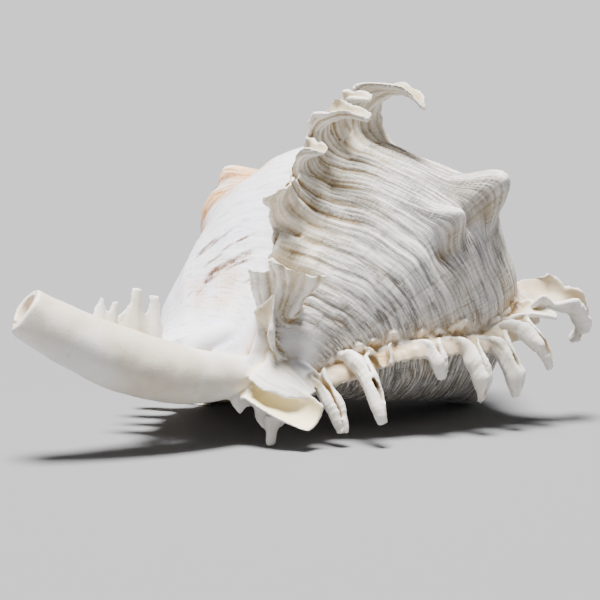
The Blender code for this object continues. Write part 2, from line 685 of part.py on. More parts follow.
def main():
    for thing in list(bpy.data.objects):
        bpy.data.objects.remove(thing)
    parts = bpy.data.collections.new(OBJECT)
    cutters = bpy.data.collections.new("cutters")
    bpy.context.scene.collection.children.link(parts)
    bpy.context.scene.collection.children.link(cutters)

    grown = [body(parts), canal(parts)]
    grown += canal_spines(parts)
    grown += rib_spines(-120.0, TOP_RIB, parts)
    grown += rib_spines(-240.0, NEAR_RIB, parts)
    grown += rib_spines(0.0, LIP_RIB, parts)
    grown += old_spines(parts)
    grown += old_mouth(parts)
    grown += [collar(angle, last, reach, parts) for angle, last, reach in COLLARS]
    fused = join("fused", grown, cutters)
    modifier(fused, "Fuse", "REMESH", mode="VOXEL", voxel_size=VOXEL * MM, adaptivity=0.0)
    for cutter in (hollow(cutters), canal_bore(cutters), canal_slit(cutters), old_bowl(cutters)):
        cut(fused, cutter)
    modifier(fused, "Knit", "REMESH", mode="VOXEL", voxel_size=VOXEL * MM, adaptivity=0.0)
    mesh = settle(fused)
    bpy.data.objects.remove(fused)
    mesh.name = NODE
    mesh.calc_loop_triangles()
    shell = bpy.data.objects.new(NODE, mesh)
    parts.objects.link(shell)
    ratio = TRIANGLES / len(mesh.loop_triangles)
    modifier(shell, "Facets", "DECIMATE", decimate_type="COLLAPSE", ratio=ratio)
    cut(shell, ground(cutters))
    shell.data.materials.append(shell_material())


main()
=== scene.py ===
"""Looks of the ramose murex: the shell's fine form, its finish, the light and the camera.

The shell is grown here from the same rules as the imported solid, only finer. Its own
frame uses millimetres for a shell 168 mm long, which MM turns into the real size.
"""

import json
import math

import bmesh
import bpy
import numpy as np
from mathutils import Matrix, Vector
from mathutils.bvhtree import BVHTree

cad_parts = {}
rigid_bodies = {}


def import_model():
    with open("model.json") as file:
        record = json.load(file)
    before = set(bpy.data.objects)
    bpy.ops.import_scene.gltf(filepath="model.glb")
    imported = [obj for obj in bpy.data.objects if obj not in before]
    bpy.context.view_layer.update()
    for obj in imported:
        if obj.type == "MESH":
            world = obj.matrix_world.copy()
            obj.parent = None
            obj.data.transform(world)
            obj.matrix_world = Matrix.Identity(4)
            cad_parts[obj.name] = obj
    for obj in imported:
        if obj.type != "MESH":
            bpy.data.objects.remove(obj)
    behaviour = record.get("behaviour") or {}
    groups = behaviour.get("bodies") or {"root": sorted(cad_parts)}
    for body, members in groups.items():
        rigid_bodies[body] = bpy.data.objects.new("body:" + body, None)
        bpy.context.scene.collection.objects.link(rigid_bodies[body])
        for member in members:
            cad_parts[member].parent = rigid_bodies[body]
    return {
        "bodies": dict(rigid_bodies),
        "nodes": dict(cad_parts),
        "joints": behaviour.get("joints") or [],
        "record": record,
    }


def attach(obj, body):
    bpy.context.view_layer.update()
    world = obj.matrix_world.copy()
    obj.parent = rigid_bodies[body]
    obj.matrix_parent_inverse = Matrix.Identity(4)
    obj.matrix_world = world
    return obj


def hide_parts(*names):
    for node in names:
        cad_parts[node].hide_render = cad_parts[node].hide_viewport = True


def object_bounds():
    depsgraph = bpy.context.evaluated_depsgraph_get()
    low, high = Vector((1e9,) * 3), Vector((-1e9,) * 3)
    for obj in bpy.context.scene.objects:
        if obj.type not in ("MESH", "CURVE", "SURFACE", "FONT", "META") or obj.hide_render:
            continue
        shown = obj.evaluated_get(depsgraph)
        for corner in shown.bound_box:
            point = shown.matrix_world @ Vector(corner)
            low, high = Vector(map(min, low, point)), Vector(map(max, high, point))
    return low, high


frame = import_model()
cad_box = [list(corner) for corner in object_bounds()]

SIZE = 1.2
MM = 0.001 * SIZE
MIDDLE = np.array((8.17, 22.47, 0.0))

# How the shell lies: its axis is turned from the view and drops to the canal.
AXIS_TURN = 50.6
AXIS_DROP = 25.9
LIP_ANGLE = 214.5
AXIS_MIDDLE = 100.0
REST_HEIGHT = 16.4

# Growth: natural logarithm of the outline's scale at each growth angle.
GROWTH_ANGLES = (-2160.0, -360.0, -300.0, -240.0, -180.0, -120.0, -60.0, 0.0)
GROWTH_LOGS = (-3.29, -0.44, -0.33, -0.32, -0.29, -0.20, -0.05, 0.04)
FIRST_ANGLE = -1900.0

# The outline: distance along the axis and from it, tip side first.
OUTLINE = (
    (43, 0), (42, 20), (41, 33), (46, 43), (55, 50), (65, 50.5), (78, 47), (95, 39.5),
    (112, 29), (124, 19.5), (134, 12.5), (142, 8.5), (146, 0),
)

# The hollow of the last turn, as an outline of the same kind.
HOLLOW = (
    (45, 36.5), (51, 42.5), (62, 46), (78, 43), (95, 35.5), (106, 25), (112.5, 17),
    (112, 11), (104, 9.5), (88, 13), (74, 21.5), (62, 29), (51, 35),
)
HOLLOW_BACK = -230.0
HOLLOW_OUT = 14.0

# Rounded knobs between the ribs: angle, place along the axis, height, spread
# in angle and spread along the axis.
KNOBS = (
    (-60, 58, 4, 15, 10),
    (-69.5, 53.3, 9.6, 4.2, 3.6),
    (-78, 53, -4.5, 5, 7),
    (-60, 62, 4.4, 6.5, 4.2),
    (-178, 55, 3, 16, 10),
    (-179.4, 54, 17.2, 5.6, 5.7),
    (-191.5, 53, -1.8, 3.5, 7),
    (-152, 50, -2.2, 11, 9),
    (-205, 56, -2.5, 8, 13),
    (-181.2, 59.8, 5, 4.8, 2.6),
    (-183, 66.3, -3, 3.2, 2),
    (-179, 73, 9.4, 4.2, 2.7),
    (-170, 73, 2, 8, 4),
    (-186.5, 79.5, -3, 5, 3.6),
    (-181, 84, 1.4, 6, 9),
    (-298, 56, 15.5, 13, 9),
    (-280, 78, 4, 14, 14),
    (-420, 55, 8, 14, 8),
    (-540, 55, 8, 14, 8),
    (-660, 55, 8, 14, 8),
)

# A rib's angle shifts a little along the axis: places and shifts in degrees.
RIB_PLACES = (55.0, 78.0, 112.0, 134.0)
NEAR_SHIFT = (9.0, 8.0, 26.0, 26.0)
TOP_SHIFT = (0.0, 4.0, -2.0, 0.0)
TOP_ANGLE = -120.0
NEAR_ANGLE = -240.0
RIB_ANGLES = (0.0, TOP_ANGLE, NEAR_ANGLE, -360.0, -480.0, -600.0, -720.0, -840.0)
RIB_SWELL = 2.6
RIB_WIDTH = 9.0
RIB_STEP = 2.2
STEP_WIDTH = 16.0
FLAT_AXIS = 12.0

# The canal leaves the axis and bends up towards the shell's back.
BEND_START = 66.0
BEND_PLACES = (0.0, 16.0, 32.0, 46.0, 60.0, 75.0, 92.0, 112.0, 124.0)
BEND_ANGLES = (0.0, 4.0, 13.0, 26.0, 39.0, 49.0, 57.0, 69.0, 75.0)
BEND_FROM = -121.0
BEND_OVER = 9.0
CANAL_LENGTH = 112.5
CANAL_SIDE = 118.0
CANAL_FIRST = 42.0
CANAL_RADII = (5.0, 6.2, 7.6, 8.3, 8.1, 7.3, 6.4)
CANAL_BORE = 3.0
CANAL_FLARE = 1.6
CANAL_SLIT = 1.5
CANAL_DEPTH = 14.0
SLIT_TURN = 68.0

# The lip's end and the canal's root close into one smooth fillet.
FILLET_START = (-29.5, -13.0, 24.0)
FILLET_END = (-14.5, -2.5, 27.5)
FILLET_RADII = (3.2, 4.0, 4.3, 4.2, 3.8)

# The ground that the tongue of the old canal lies on.
CHEEK_START = (0.0, -4.5, 17.5)
CHEEK_END = (7.0, -10.5, 16.0)
CHEEK_RADII = (5.6, 5.2, 4.4, 3.6)

# Towards the canal the lip slants back.
LIP_SLANT = 24.0
SLANT_START = 78.0
SLANT_LENGTH = 32.0
SLANT_TURN = 75.0

# The last third of a turn is fuller, and the lip tucks in again near the canal.
LATE_SWELLS = ((10.5, 117.0, 16.0), (3.8, 84.0, 16.0))
LATE_FROM = -112.0
LATE_OVER = 45.0
LATE_END = -42.0
LATE_FADE = 22.0
LIP_TUCK = 6.0
TUCK_PLACE = 116.0
TUCK_SPREAD = 12.0
TUCK_OVER = 40.0

# Least and most spacing in mm of the spiral cords, with the least height of one.
BUNDLES = (3.4, 7.0, 0.55)
CORDS = (1.0, 2.3, 0.25)
THREADS = (0.55, 1.0, 0.3)

VOXEL = 0.45

BODY_SIDES = 240

BODY, SPINE, EDGE, CANAL, MOUTH, BOWL = range(6)


def shell_axes():
    turn = math.radians(AXIS_TURN)
    drop = math.radians(AXIS_DROP)
    flat = -math.cos(drop)
    along = np.array((flat * math.cos(turn), flat * math.sin(turn), -math.sin(drop)))
    side = np.array((math.sin(turn), -math.cos(turn), 0.0))
    return along, side, np.cross(along, side)


ALONG, SIDE, OVER = shell_axes()


def radial_at(phi):
    return math.cos(phi) * SIDE + math.sin(phi) * OVER


def swing(angle, ahead, aside):
    """Directions turned by each angle from the first direction towards the second."""
    return np.cos(angle)[..., None] * ahead + np.sin(angle)[..., None] * aside


def from_zero(steps):
    return np.concatenate(((0.0,), steps))


def unit(rows):
    return rows / np.linalg.norm(rows, axis=1)[:, None]


def smooth_curve(points, count):
    """Run a Catmull-Rom curve through the points and give evenly spaced samples."""
    p = np.asarray(points, dtype=float)
    p = np.vstack((2 * p[0] - p[1], p, 2 * p[-1] - p[-2]))
    out = []
    for i in range(1, len(p) - 2):
        t = np.linspace(0.0, 1.0, 24, endpoint=False)[:, None]
        a = 2 * p[i]
        b = p[i + 1] - p[i - 1]
        c = 2 * p[i - 1] - 5 * p[i] + 4 * p[i + 1] - p[i + 2]
        d = 3 * p[i] - p[i - 1] - 3 * p[i + 1] + p[i + 2]
        out.append(0.5 * (a + b * t + c * t**2 + d * t**3))
    out.append(p[-2][None])
    curve = np.vstack(out)
    steps = np.linalg.norm(np.diff(curve, axis=0), axis=1)
    length = from_zero(np.cumsum(steps))
    at = np.linspace(0.0, length[-1], count)
    return np.stack([np.interp(at, length, curve[:, k]) for k in range(curve.shape[1])], axis=1)


OUTLINE_CURVE = smooth_curve(OUTLINE, 400)
OUTLINE_LENGTH = float(np.linalg.norm(np.diff(OUTLINE_CURVE, axis=0), axis=1).sum())


def smoothed(values, reach, spread):
    window = np.exp(-0.5 * (np.arange(-reach, reach + 1) / spread) ** 2)
    padded = np.pad(values, reach, mode="reflect", reflect_type="odd")
    return np.convolve(padded, window / window.sum(), mode="valid")


def growth_table():
    """Scale of the outline at each degree of growth, with its knots rounded off."""
    angles = np.arange(-2160.0, 121.0, 1.0)
    logs = np.interp(angles, GROWTH_ANGLES, GROWTH_LOGS)
    late = angles > 0.0
    logs[late] = GROWTH_LOGS[-1] + angles[late] * 0.0009
    return angles, smoothed(logs, 60, 22.0)


GROWTH = growth_table()


def scale_at(theta):
    return np.exp(np.interp(theta, *GROWTH))


def bell(value, middle, spread):
    return np.exp(-0.5 * ((value - middle) / spread) ** 2)


def ramp(value, start, stop):
    """Rise smoothly from 0 at start to 1 at stop."""
    t = np.clip((value - start) / (stop - start), 0.0, 1.0)
    return t * t * (3.0 - 2.0 * t)


def bend_table():
    """Middle line of the bent canal with its dorsal direction, each 1 mm."""
    far = np.arange(0.0, CANAL_LENGTH + 40.0, 1.0)
    bend = np.radians(smoothed(np.interp(far, BEND_PLACES, BEND_ANGLES), 15, 5.0))
    dorsal = radial_at(math.radians(CANAL_SIDE))
    heading = swing(bend, ALONG, dorsal)
    up = swing(bend, dorsal, -ALONG)
    walk = np.cumsum(0.5 * (heading[1:] + heading[:-1]), axis=0)
    start = (BEND_START - AXIS_MIDDLE) * ALONG + np.array((0.0, 0.0, REST_HEIGHT))
    line = np.vstack((start[None], start + walk))
    return far, line, heading, up, dorsal, np.cross(ALONG, dorsal)


BEND = bend_table()


def along_bend(far, rows):
    return np.stack([np.interp(far, BEND[0], rows[:, k]) for k in range(3)], axis=-1)


def place(theta, along, out):
    """Position of points given by growth angle, axis place and radius in mm."""
    theta = np.asarray(theta, dtype=float)
    slant = np.clip((np.asarray(along) - SLANT_START) / SLANT_LENGTH, 0.0, 1.0)
    slant = slant * np.clip((theta + SLANT_TURN) / SLANT_TURN, 0.0, 1.0)
    phi = np.radians(LIP_ANGLE + theta - LIP_SLANT * slant)
    radial = swing(phi, SIDE, OVER)
    along = np.asarray(along, dtype=float)[..., None]
    out = np.asarray(out, dtype=float)[..., None]
    straight = (along - AXIS_MIDDLE) * ALONG + out * radial + np.array((0.0, 0.0, REST_HEIGHT))
    far = np.clip(along[..., 0] - BEND_START, 0.0, BEND[0][-1])
    raised = (radial @ BEND[4])[..., None] * along_bend(far, BEND[3])
    turned = raised + (radial @ BEND[5])[..., None] * BEND[5]
    bent = along_bend(far, BEND[1]) + out * turned
    share = ramp(theta, BEND_FROM, BEND_FROM + BEND_OVER)[..., None] * (along > BEND_START)
    return straight + share * (bent - straight)


def rib_shift(angle, z):
    shift = {NEAR_ANGLE: NEAR_SHIFT, TOP_ANGLE: TOP_SHIFT}.get(angle, (0.0, 0.0, 0.0, 0.0))
    return np.interp(z, RIB_PLACES, shift)


def relief(theta, z, r):
    """Extra radius in mm of knobs, ribs and the step after each rib."""
    theta, z = np.broadcast_arrays(theta, z)
    extra = np.zeros(theta.shape)
    for angle, where, height, wide, long in KNOBS:
        extra += height * bell(theta, angle, wide) * bell(z, where, long)
    for angle in RIB_ANGLES:
        there = theta - rib_shift(angle, z)
        before = np.clip(angle - there, 0.0, None)
        after = np.clip(there - angle, 0.0, None)
        rib = np.where(there <= angle, RIB_SWELL * np.exp(-((before / RIB_WIDTH) ** 2)), 0.0)
        step = np.where(there > angle, -RIB_STEP * np.exp(-after / STEP_WIDTH), 0.0)
        extra += (rib + step) * np.clip(scale_at(angle), 0.15, 1.0)
    late = np.clip((theta - LATE_FROM) / LATE_OVER, 0.0, 1.0)
    late = late * bell(np.clip(theta, LATE_END, None), LATE_END, LATE_FADE)
    for height, where, long in LATE_SWELLS:
        extra += late * height * bell(z, where, long)
    extra -= LIP_TUCK * bell(z, TUCK_PLACE, TUCK_SPREAD) * np.clip(theta / TUCK_OVER + 1.0, 0.0, 1.0)
    return extra * np.clip(r / FLAT_AXIS, 0.0, 1.0)


def add_object(name, data):
    made = bpy.data.objects.new(name, data)
    bpy.context.scene.collection.objects.link(made)
    return made


def with_settings(made, settings):
    for key, value in settings.items():
        setattr(made, key, value)
    return made


class Growth:
    """Solids that will be fused or cut away, each with its own surface coordinates."""

    def __init__(self):
        self.verts = []
        self.coords = []
        self.quads = []
        self.caps = []
        self.kinds = []
        self.count = 0

    def add(self, kind, rings, coords):
        """Close a stack of equal rings into a solid with flat ends."""
        rows, size = rings.shape[:2]
        start = self.count
        i = np.arange(rows - 1)[:, None] * size
        j = np.arange(size)[None, :]
        k = (j + 1) % size
        quads = np.stack(np.broadcast_arrays(i + j, i + k, i + size + k, i + size + j), axis=-1)
        self.quads.append(quads.reshape(-1, 4) + start)
        self.caps.append([start + n for n in reversed(range(size))])
        self.caps.append([start + (rows - 1) * size + n for n in range(size)])
        self.verts.append(rings.reshape(-1, 3))
        self.coords.append(np.broadcast_to(coords, (rows, size, 5)).reshape(-1, 5))
        self.kinds.append(np.full(rows * size, kind))
        self.count += rows * size

    def add_sheet(self, kind, outer, inner, where, late):
        """Close a sheet's two faces into one solid. Its inner face is marked by -1."""
        flags = np.stack(np.broadcast_arrays(late, np.ones(outer.shape[:2])), axis=-1)
        sheet = np.concatenate((where, flags), axis=-1)
        under = sheet[:, ::-1] * (1.0, 1.0, 1.0, 1.0, -1.0)
        rings = np.concatenate((outer, inner[:, ::-1]), axis=1)
        self.add(kind, rings, np.concatenate((sheet, under), axis=1))

    def arrays(self):
        verts = np.concatenate(self.verts)
        return verts, np.concatenate(self.quads), np.concatenate(self.coords), np.concatenate(self.kinds)

    def thing(self, name):
        """The solids as one object, each facing outward."""
        verts, quads, _, _ = self.arrays()
        mesh = bpy.data.meshes.new(name)
        mesh.from_pydata((verts - MIDDLE) * MM, [], quads.tolist() + self.caps)
        bm = bmesh.new()
        bm.from_mesh(mesh)
        bmesh.ops.recalc_face_normals(bm, faces=bm.faces)
        bm.to_mesh(mesh)
        bm.free()
        return add_object(name, mesh)


def body(grown):
    spire = np.arange(FIRST_ANGLE, -720.0, 6.0)
    older = np.arange(-720.0, -380.0, 2.5)
    theta = np.concatenate((spire, older, np.arange(-380.0, 0.1, 1.25)))[:, None]
    outline = smooth_curve(OUTLINE, BODY_SIDES)
    z = outline[None, :, 0]
    r = outline[None, :, 1]
    s = scale_at(theta)
    rings = place(theta + 0.0 * z, z * s, r * s + relief(theta, z, r) * np.clip(s, 0.0, 1.0))
    coords = np.zeros(rings.shape[:2] + (5,))
    coords[..., 0] = theta
    coords[..., 1] = z
    coords[..., 2] = np.linspace(0.0, OUTLINE_LENGTH, BODY_SIDES)[None, :]
    grown.add(BODY, rings, coords)


def hollow(cut):
    ring = smooth_curve(HOLLOW + HOLLOW[:1], 73)[:-1]
    middle = ring.mean(axis=0)
    rings = []
    coords = []
    for t in np.arange(HOLLOW_BACK, HOLLOW_OUT + 0.1, 3.0):
        close = min(1.0, math.sqrt(max(0.0, (t - HOLLOW_BACK) / 40.0)) + 0.05)
        part = middle + (ring - middle) * close
        s = scale_at(t)
        rings.append(place(np.full(len(part), t), part[:, 0] * s, part[:, 1] * s))
        none = 0.0 * part[:, 0]
        coords.append(np.stack((none + t, part[:, 0], part[:, 1], none, none), axis=1))
    cut.add(MOUTH, np.array(rings), np.array(coords))


def canal_line(count, start=CANAL_FIRST, stop=CANAL_LENGTH):
    far = np.linspace(start, stop, count)
    return far, along_bend(far, BEND[1]), along_bend(far, BEND[3]), BEND[5]


def tube(growth, kind, line, up, across, radii, sides, reach=None):
    a = np.linspace(0.0, 2 * math.pi, sides, endpoint=False)
    ring = np.cos(a)[None, :, None] * up[:, None, :] + np.sin(a)[None, :, None] * across
    rings = line[:, None, :] + ring * np.asarray(radii)[:, None, None]
    coords = np.zeros((len(line), sides, 5))
    coords[..., 0] = np.linspace(0.0, 1.0, len(line))[:, None] if reach is None else reach[:, None]
    coords[..., 1] = a[None, :]
    growth.add(kind, rings, coords)


def canal(grown):
    far, line, up, across = canal_line(120)
    radii = np.interp(far, np.linspace(CANAL_FIRST, CANAL_LENGTH, len(CANAL_RADII)), CANAL_RADII)
    radii = smoothed(radii, 9, 4.0)
    tube(grown, CANAL, line, up, across, radii, 48, reach=far)


def fillet(grown):
    cone(grown, BODY, FILLET_START, FILLET_END, FILLET_RADII, 32)
    cone(grown, BODY, CHEEK_START, CHEEK_END, CHEEK_RADII, 32)


def canal_bore(cut):
    far, line, up, across = canal_line(50, CANAL_FIRST + 4.0, CANAL_LENGTH + 3.0)
    radii = CANAL_BORE + CANAL_FLARE * ((far - far[0]) / (far[-1] - far[0])) ** 4
    tube(cut, BOWL, line, up, across, radii, 24)


def canal_slit(cut):
    far, line, up, across = canal_line(60, CANAL_FIRST + 4.0, CANAL_LENGTH + 3.0)
    wander = 0.5 * np.sin(far / 3.1) + 0.35 * np.sin(far / 1.3 + 1.0)
    turn = math.radians(SLIT_TURN)
    deep = (math.cos(turn) * up - math.sin(turn) * across) * CANAL_DEPTH
    across = math.cos(turn) * across + math.sin(turn) * up
    half = 0.5 * CANAL_SLIT * across
    mid = line + wander[:, None] * across
    rings = np.stack((mid + half, mid - half, mid - half - deep, mid + half - deep), axis=1)
    cut.add(BOWL, rings, np.zeros((len(far), 4, 5)))


SHOULDER_PLACE = 41.5
OUTLINE_LEVELS = np.linspace(0.0, OUTLINE_LENGTH, len(OUTLINE_CURVE))
SHOULDER_START = int(np.argmax(OUTLINE_CURVE[:, 0] > SHOULDER_PLACE))


def level_of(z):
    """Distance along the outline of a place on the axis, past the spire."""
    keep = slice(SHOULDER_START, len(OUTLINE_CURVE) - 12)
    return np.interp(z, OUTLINE_CURVE[keep, 0], OUTLINE_LEVELS[keep])


def outline_at(level):
    """Place along the axis and radius at a distance along the outline."""
    return tuple(np.interp(level, OUTLINE_LEVELS, OUTLINE_CURVE[:, k]) for k in range(2))


def on_body(theta, level):
    """Points of the body's surface."""
    z, r = outline_at(level)
    s = scale_at(theta)
    return place(theta, z * s, r * s + relief(theta, z, r) * np.clip(s, 0.0, 1.0))


def cord_profile(seed, least, most, low):
    """Heights of unevenly spaced rounded cords at each place along the outline."""
    draw = np.random.default_rng(seed)
    edges = from_zero(np.cumsum(draw.uniform(least, most, 400))) - 20.0
    tall = draw.uniform(low, 1.0, 401)
    at = np.arange(-18.0, 260.0, 0.05)
    k = np.searchsorted(edges, at) - 1
    part = (at - edges[k]) / (edges[k + 1] - edges[k])
    return at, smoothed(tall[k] * (1.0 - np.abs(2.0 * part - 1.0) ** 2.6), 6, 1.6)


BUNDLE_PROFILE = cord_profile(31, *BUNDLES)
CORD_PROFILE = cord_profile(32, *CORDS)
THREAD_PROFILE = cord_profile(33, *THREADS)


def cords(theta, z, level):
    """Spiral cords, each from 0 to 1: broad bundles, cords, and threads between them."""
    turn = np.radians(theta)
    u = level + 0.6 * np.sin(turn * 5.0 + z / 9.0) + 0.35 * np.sin(turn * 13.0 + z / 5.0)
    broad = np.interp(u, *BUNDLE_PROFILE)
    middle = np.interp(u, *CORD_PROFILE)
    fine = np.interp(u + 0.15 * np.sin(turn * 31.0 + z), *THREAD_PROFILE)
    strength = 0.6 + 0.4 * np.sin(u / 3.7 + 4.0 * turn) * np.sin(u / 7.1 + 1.0)
    return broad, middle, fine, strength


def frame_at(theta, z):
    """Place on the body with its outward, backward and canalward directions."""
    keep = OUTLINE_CURVE[:, 1] > 5.0
    z_all = OUTLINE_CURVE[keep, 0]
    r_all = OUTLINE_CURVE[keep, 1]
    low = np.argmax(z_all > SHOULDER_PLACE)
    below, r, above = np.interp((z - 1.5, z, z + 1.5), z_all[low:], r_all[low:])
    rise = (above - below) / 3.0
    s = float(scale_at(theta))
    spot = place(theta, z * s, r * s + float(relief(theta, z, r)) * min(s, 1.0))
    phi = math.radians(LIP_ANGLE + theta)
    radial = radial_at(phi)
    back = math.sin(phi) * SIDE - math.cos(phi) * OVER
    out = radial - rise * ALONG
    out /= np.linalg.norm(out)
    down = np.cross(out, back)
    if down @ ALONG < 0.0:
        down = -down
    return spot, out, back, down


# Seeds of the chance in each group of parts.
TOP_SEED = 100
NEAR_SEED = 200
LIP_SEED = 300
CANAL_SEED = 400
OLD_SEED = 500
SCALE_SEED = 600
MOUTH_SEED = 700
PRONG_SEED = 750
COLLAR_SEED = 800

# Spines: row spacing, columns, wall and its thinning at the edge, how steeply the
# skirt rises, how far it leans at the root and how deep the root is sunk, in mm and degrees.
SPINE_ROW = 0.6
SPINE_SIDES = 49
SPINE_WALL = 1.9
SPINE_EDGE = 0.45
SKIRT_RISE = 1.35
ROOT_LEAN = 78.0
ROOT_SUNK = 2.2
LEAST_RADIUS = 8.0


def rib_root(angle, shift, z):
    """Where a spine stands on a rib, and how its sheet lies on the shell behind it."""
    frame = frame_at(angle + shift + float(rib_shift(angle, z)), z)
    middle = float(level_of(z))
    size = float(scale_at(angle))

    def lay(across, behind):
        level = middle + across / size + 0.0 * behind
        place_z, place_r = outline_at(level)
        radius = np.maximum(place_r * size, LEAST_RADIUS)
        theta = angle + shift + rib_shift(angle, place_z) - np.degrees(behind / radius)
        return on_body(theta, level), np.stack((theta, place_z, level), axis=-1)

    return frame, lay


def canal_root(far):
    """Where a spine stands on the canal."""
    base, out, back, heading = canal_frame(far)
    return (base, out, back, heading), flat_lay(base - out, back, heading, (-5.0, 120.0, 90.0 + far))


def flat_lay(base, back, heading, where):
    """A flat stand-in for the shell behind a spine that no rib carries."""

    def lay(across, behind):
        none = 0.0 * (across + behind)
        points = base + (across + none)[..., None] * heading - (behind + none)[..., None] * back
        return points, np.stack((none + where[0], none + where[1], none + across + where[2]), axis=-1)

    return lay


def spine(grown, root, length, widths, lean, fold, seed, drift=0.0, twist=(0.0, 0.0), skirt=8.0,
          pull=(0.0, 0.0), ripple=0.07, frill=0.1, size=1.0, kind=SPINE, wall=1.0):
    """A folded spine: the shell's own sheet peels off it, curls back and is slit in front."""
    (base, out, back, down), lay = root
    draw = np.random.default_rng(seed)
    rise = SKIRT_RISE * skirt * size
    lead = (0.8 + 0.95 * skirt) * size
    total = length + rise - lead
    rows = max(12, int(total / SPINE_ROW))
    path = np.linspace(0.0, total, rows)
    grip = path / rise
    late = np.clip((path - rise + lead) / length, 0.0, 1.0)
    lean_all = -ROOT_LEAN + (ROOT_LEAN + lean[0]) * ramp(grip, -0.2, 1.25)
    lean_all = np.radians(lean_all + (lean[1] - lean[0]) * late**1.25)
    heading = unit(swing(lean_all, out, back) + (drift * late)[:, None] * down)
    walk = np.cumsum(heading * (total / (rows - 1)), axis=0)
    line = base + back * skirt * size - out * ROOT_SUNK * size + np.vstack((np.zeros(3), walk[:-1]))
    line += late[:, None] ** 1.5 * np.array((pull[0], 0.0, pull[1]))
    heading = unit(np.gradient(line, axis=0))
    concave = swing(lean_all, back, -out)
    concave = unit(concave - np.sum(concave * heading, axis=1)[:, None] * heading)
    cross = np.cross(heading, concave)
    cross *= np.sign(np.sum(cross * down, axis=1))[:, None]
    turn = np.radians(twist[0] + (twist[1] - twist[0]) * late) * ramp(grip, 0.0, 1.1)
    face = swing(turn, concave, cross)
    cross = swing(turn, cross, -concave)

    half = np.interp(late, np.linspace(0.0, 1.0, len(widths)), widths) * size
    half = smoothed(half, 3, 1.5)
    arc = np.radians(np.interp(late, (0.0, 0.35, 1.0), fold)) * (0.3 + 0.7 * ramp(grip, 0.1, 1.3))
    peel = ramp(grip, 0.05, 1.15)
    steps = np.cumsum(draw.uniform(2.2, 4.6, 60)) * max(size, 0.5)
    teeth = np.resize((0.9, -0.9), 61)
    saw = np.interp(path, from_zero(steps), draw.uniform(-1.0, 1.0, 61) + teeth)
    saw_other = np.interp(path, from_zero(steps + 1.1), draw.uniform(-1.0, 1.0, 61) - teeth)
    q = np.linspace(-1.0, 1.0, SPINE_SIDES)[None, :]
    behind = np.clip(skirt * size * (1.0 - grip), 0.0, None)
    held, where = lay(q * widths[0] * size, behind[:, None])
    where[..., 0] += np.clip(path - rise, 0.0, None)[:, None] * 1.1
    late, grip, peel, half, arc = (v[:, None] for v in (late, grip, peel, half, arc))
    side = np.where(q < 0.0, saw[:, None], saw_other[:, None]) * frill * ramp(late, 0.05, 0.35)
    angle = arc * q * (1.0 + side * np.abs(q) ** 3)
    wall = np.minimum(wall * SPINE_WALL * max(size, 0.74), np.maximum(half, 0.3) * 0.9)
    wall = wall * (1.0 - SPINE_EDGE * np.abs(q) ** 3) * (1.0 - 0.35 * late)
    _, ridges, _, _ = cords(where[..., 0], where[..., 1], where[..., 2])
    bend = np.maximum(half, 0.25) / np.maximum(arc, 0.08)
    high = ripple * np.minimum(half, 7.0) * (ridges - 0.5) * (1.0 - 0.3 * late) * ramp(grip, 0.2, 1.2)
    rings = []
    for radius, sunk in ((bend + high, 0.25), (np.maximum(bend - wall + 0.35 * high, 0.1), 0.25 + wall)):
        x = (radius * np.sin(angle))[..., None]
        y = (bend - radius * np.cos(angle))[..., None]
        free = line[:, None] + x * cross[:, None] - y * face[:, None]
        rest = held - (sunk * (1.0 - 0.9 * peel))[..., None] * out
        rings.append(rest + peel[..., None] * (free - rest))
    grown.add_sheet(kind, rings[0], rings[1], where, late)


# The spines of each rib from the shoulder to the canal: place along the axis,
# length, half widths from root to tip, lean back at root and tip, fold of the
# sheet at root, above the root and at the tip, drift towards the canal, twist at
# root and tip, angle behind the rib's edge, depth of the skirt behind it, and how
# far the tip is drawn sideways and up.
TOP_RIB = (
    (52.7, 29.2, (12, 11.2, 9.4, 7.4, 4.8, 1.2), (18, 138),
     (45, 70, 85), -0.15, (0, 0), -2, 10, (-0.8, -1.6)),
    (60, 21, (6.5, 6, 4.6, 1.8), (10, 112), (45, 85, 95), 0, (0, 0), -2, 10, (-0.2, 1)),
    (67.5, 27, (6.5, 7.2, 6.2, 2.4), (8, 116), (45, 90, 100), 0, (8, 10), -2, 10, (2.6, -1.4)),
    (78, 18, (6.5, 6.8, 6, 2.6), (10, 96), (45, 80, 90), 0.05, (12, 20), -3, 10, (1.5, -1)),
    (85.5, 10, (6, 5.6, 4.4, 2.6), (4, 50), (45, 70, 70), 0, (16, 28), -4, 10, (-1.5, 0)),
    (94, 20, (7, 7.2, 7, 3.2), (2, 46), (40, 70, 62), -0.05, (18, 24), -5, 10, (0, 0)),
    (105, 9, (6, 6, 5.4, 3.8), (0, 30), (40, 58, 55), 0, (16, 20), -5, 10, (-2.5, 0)),
)
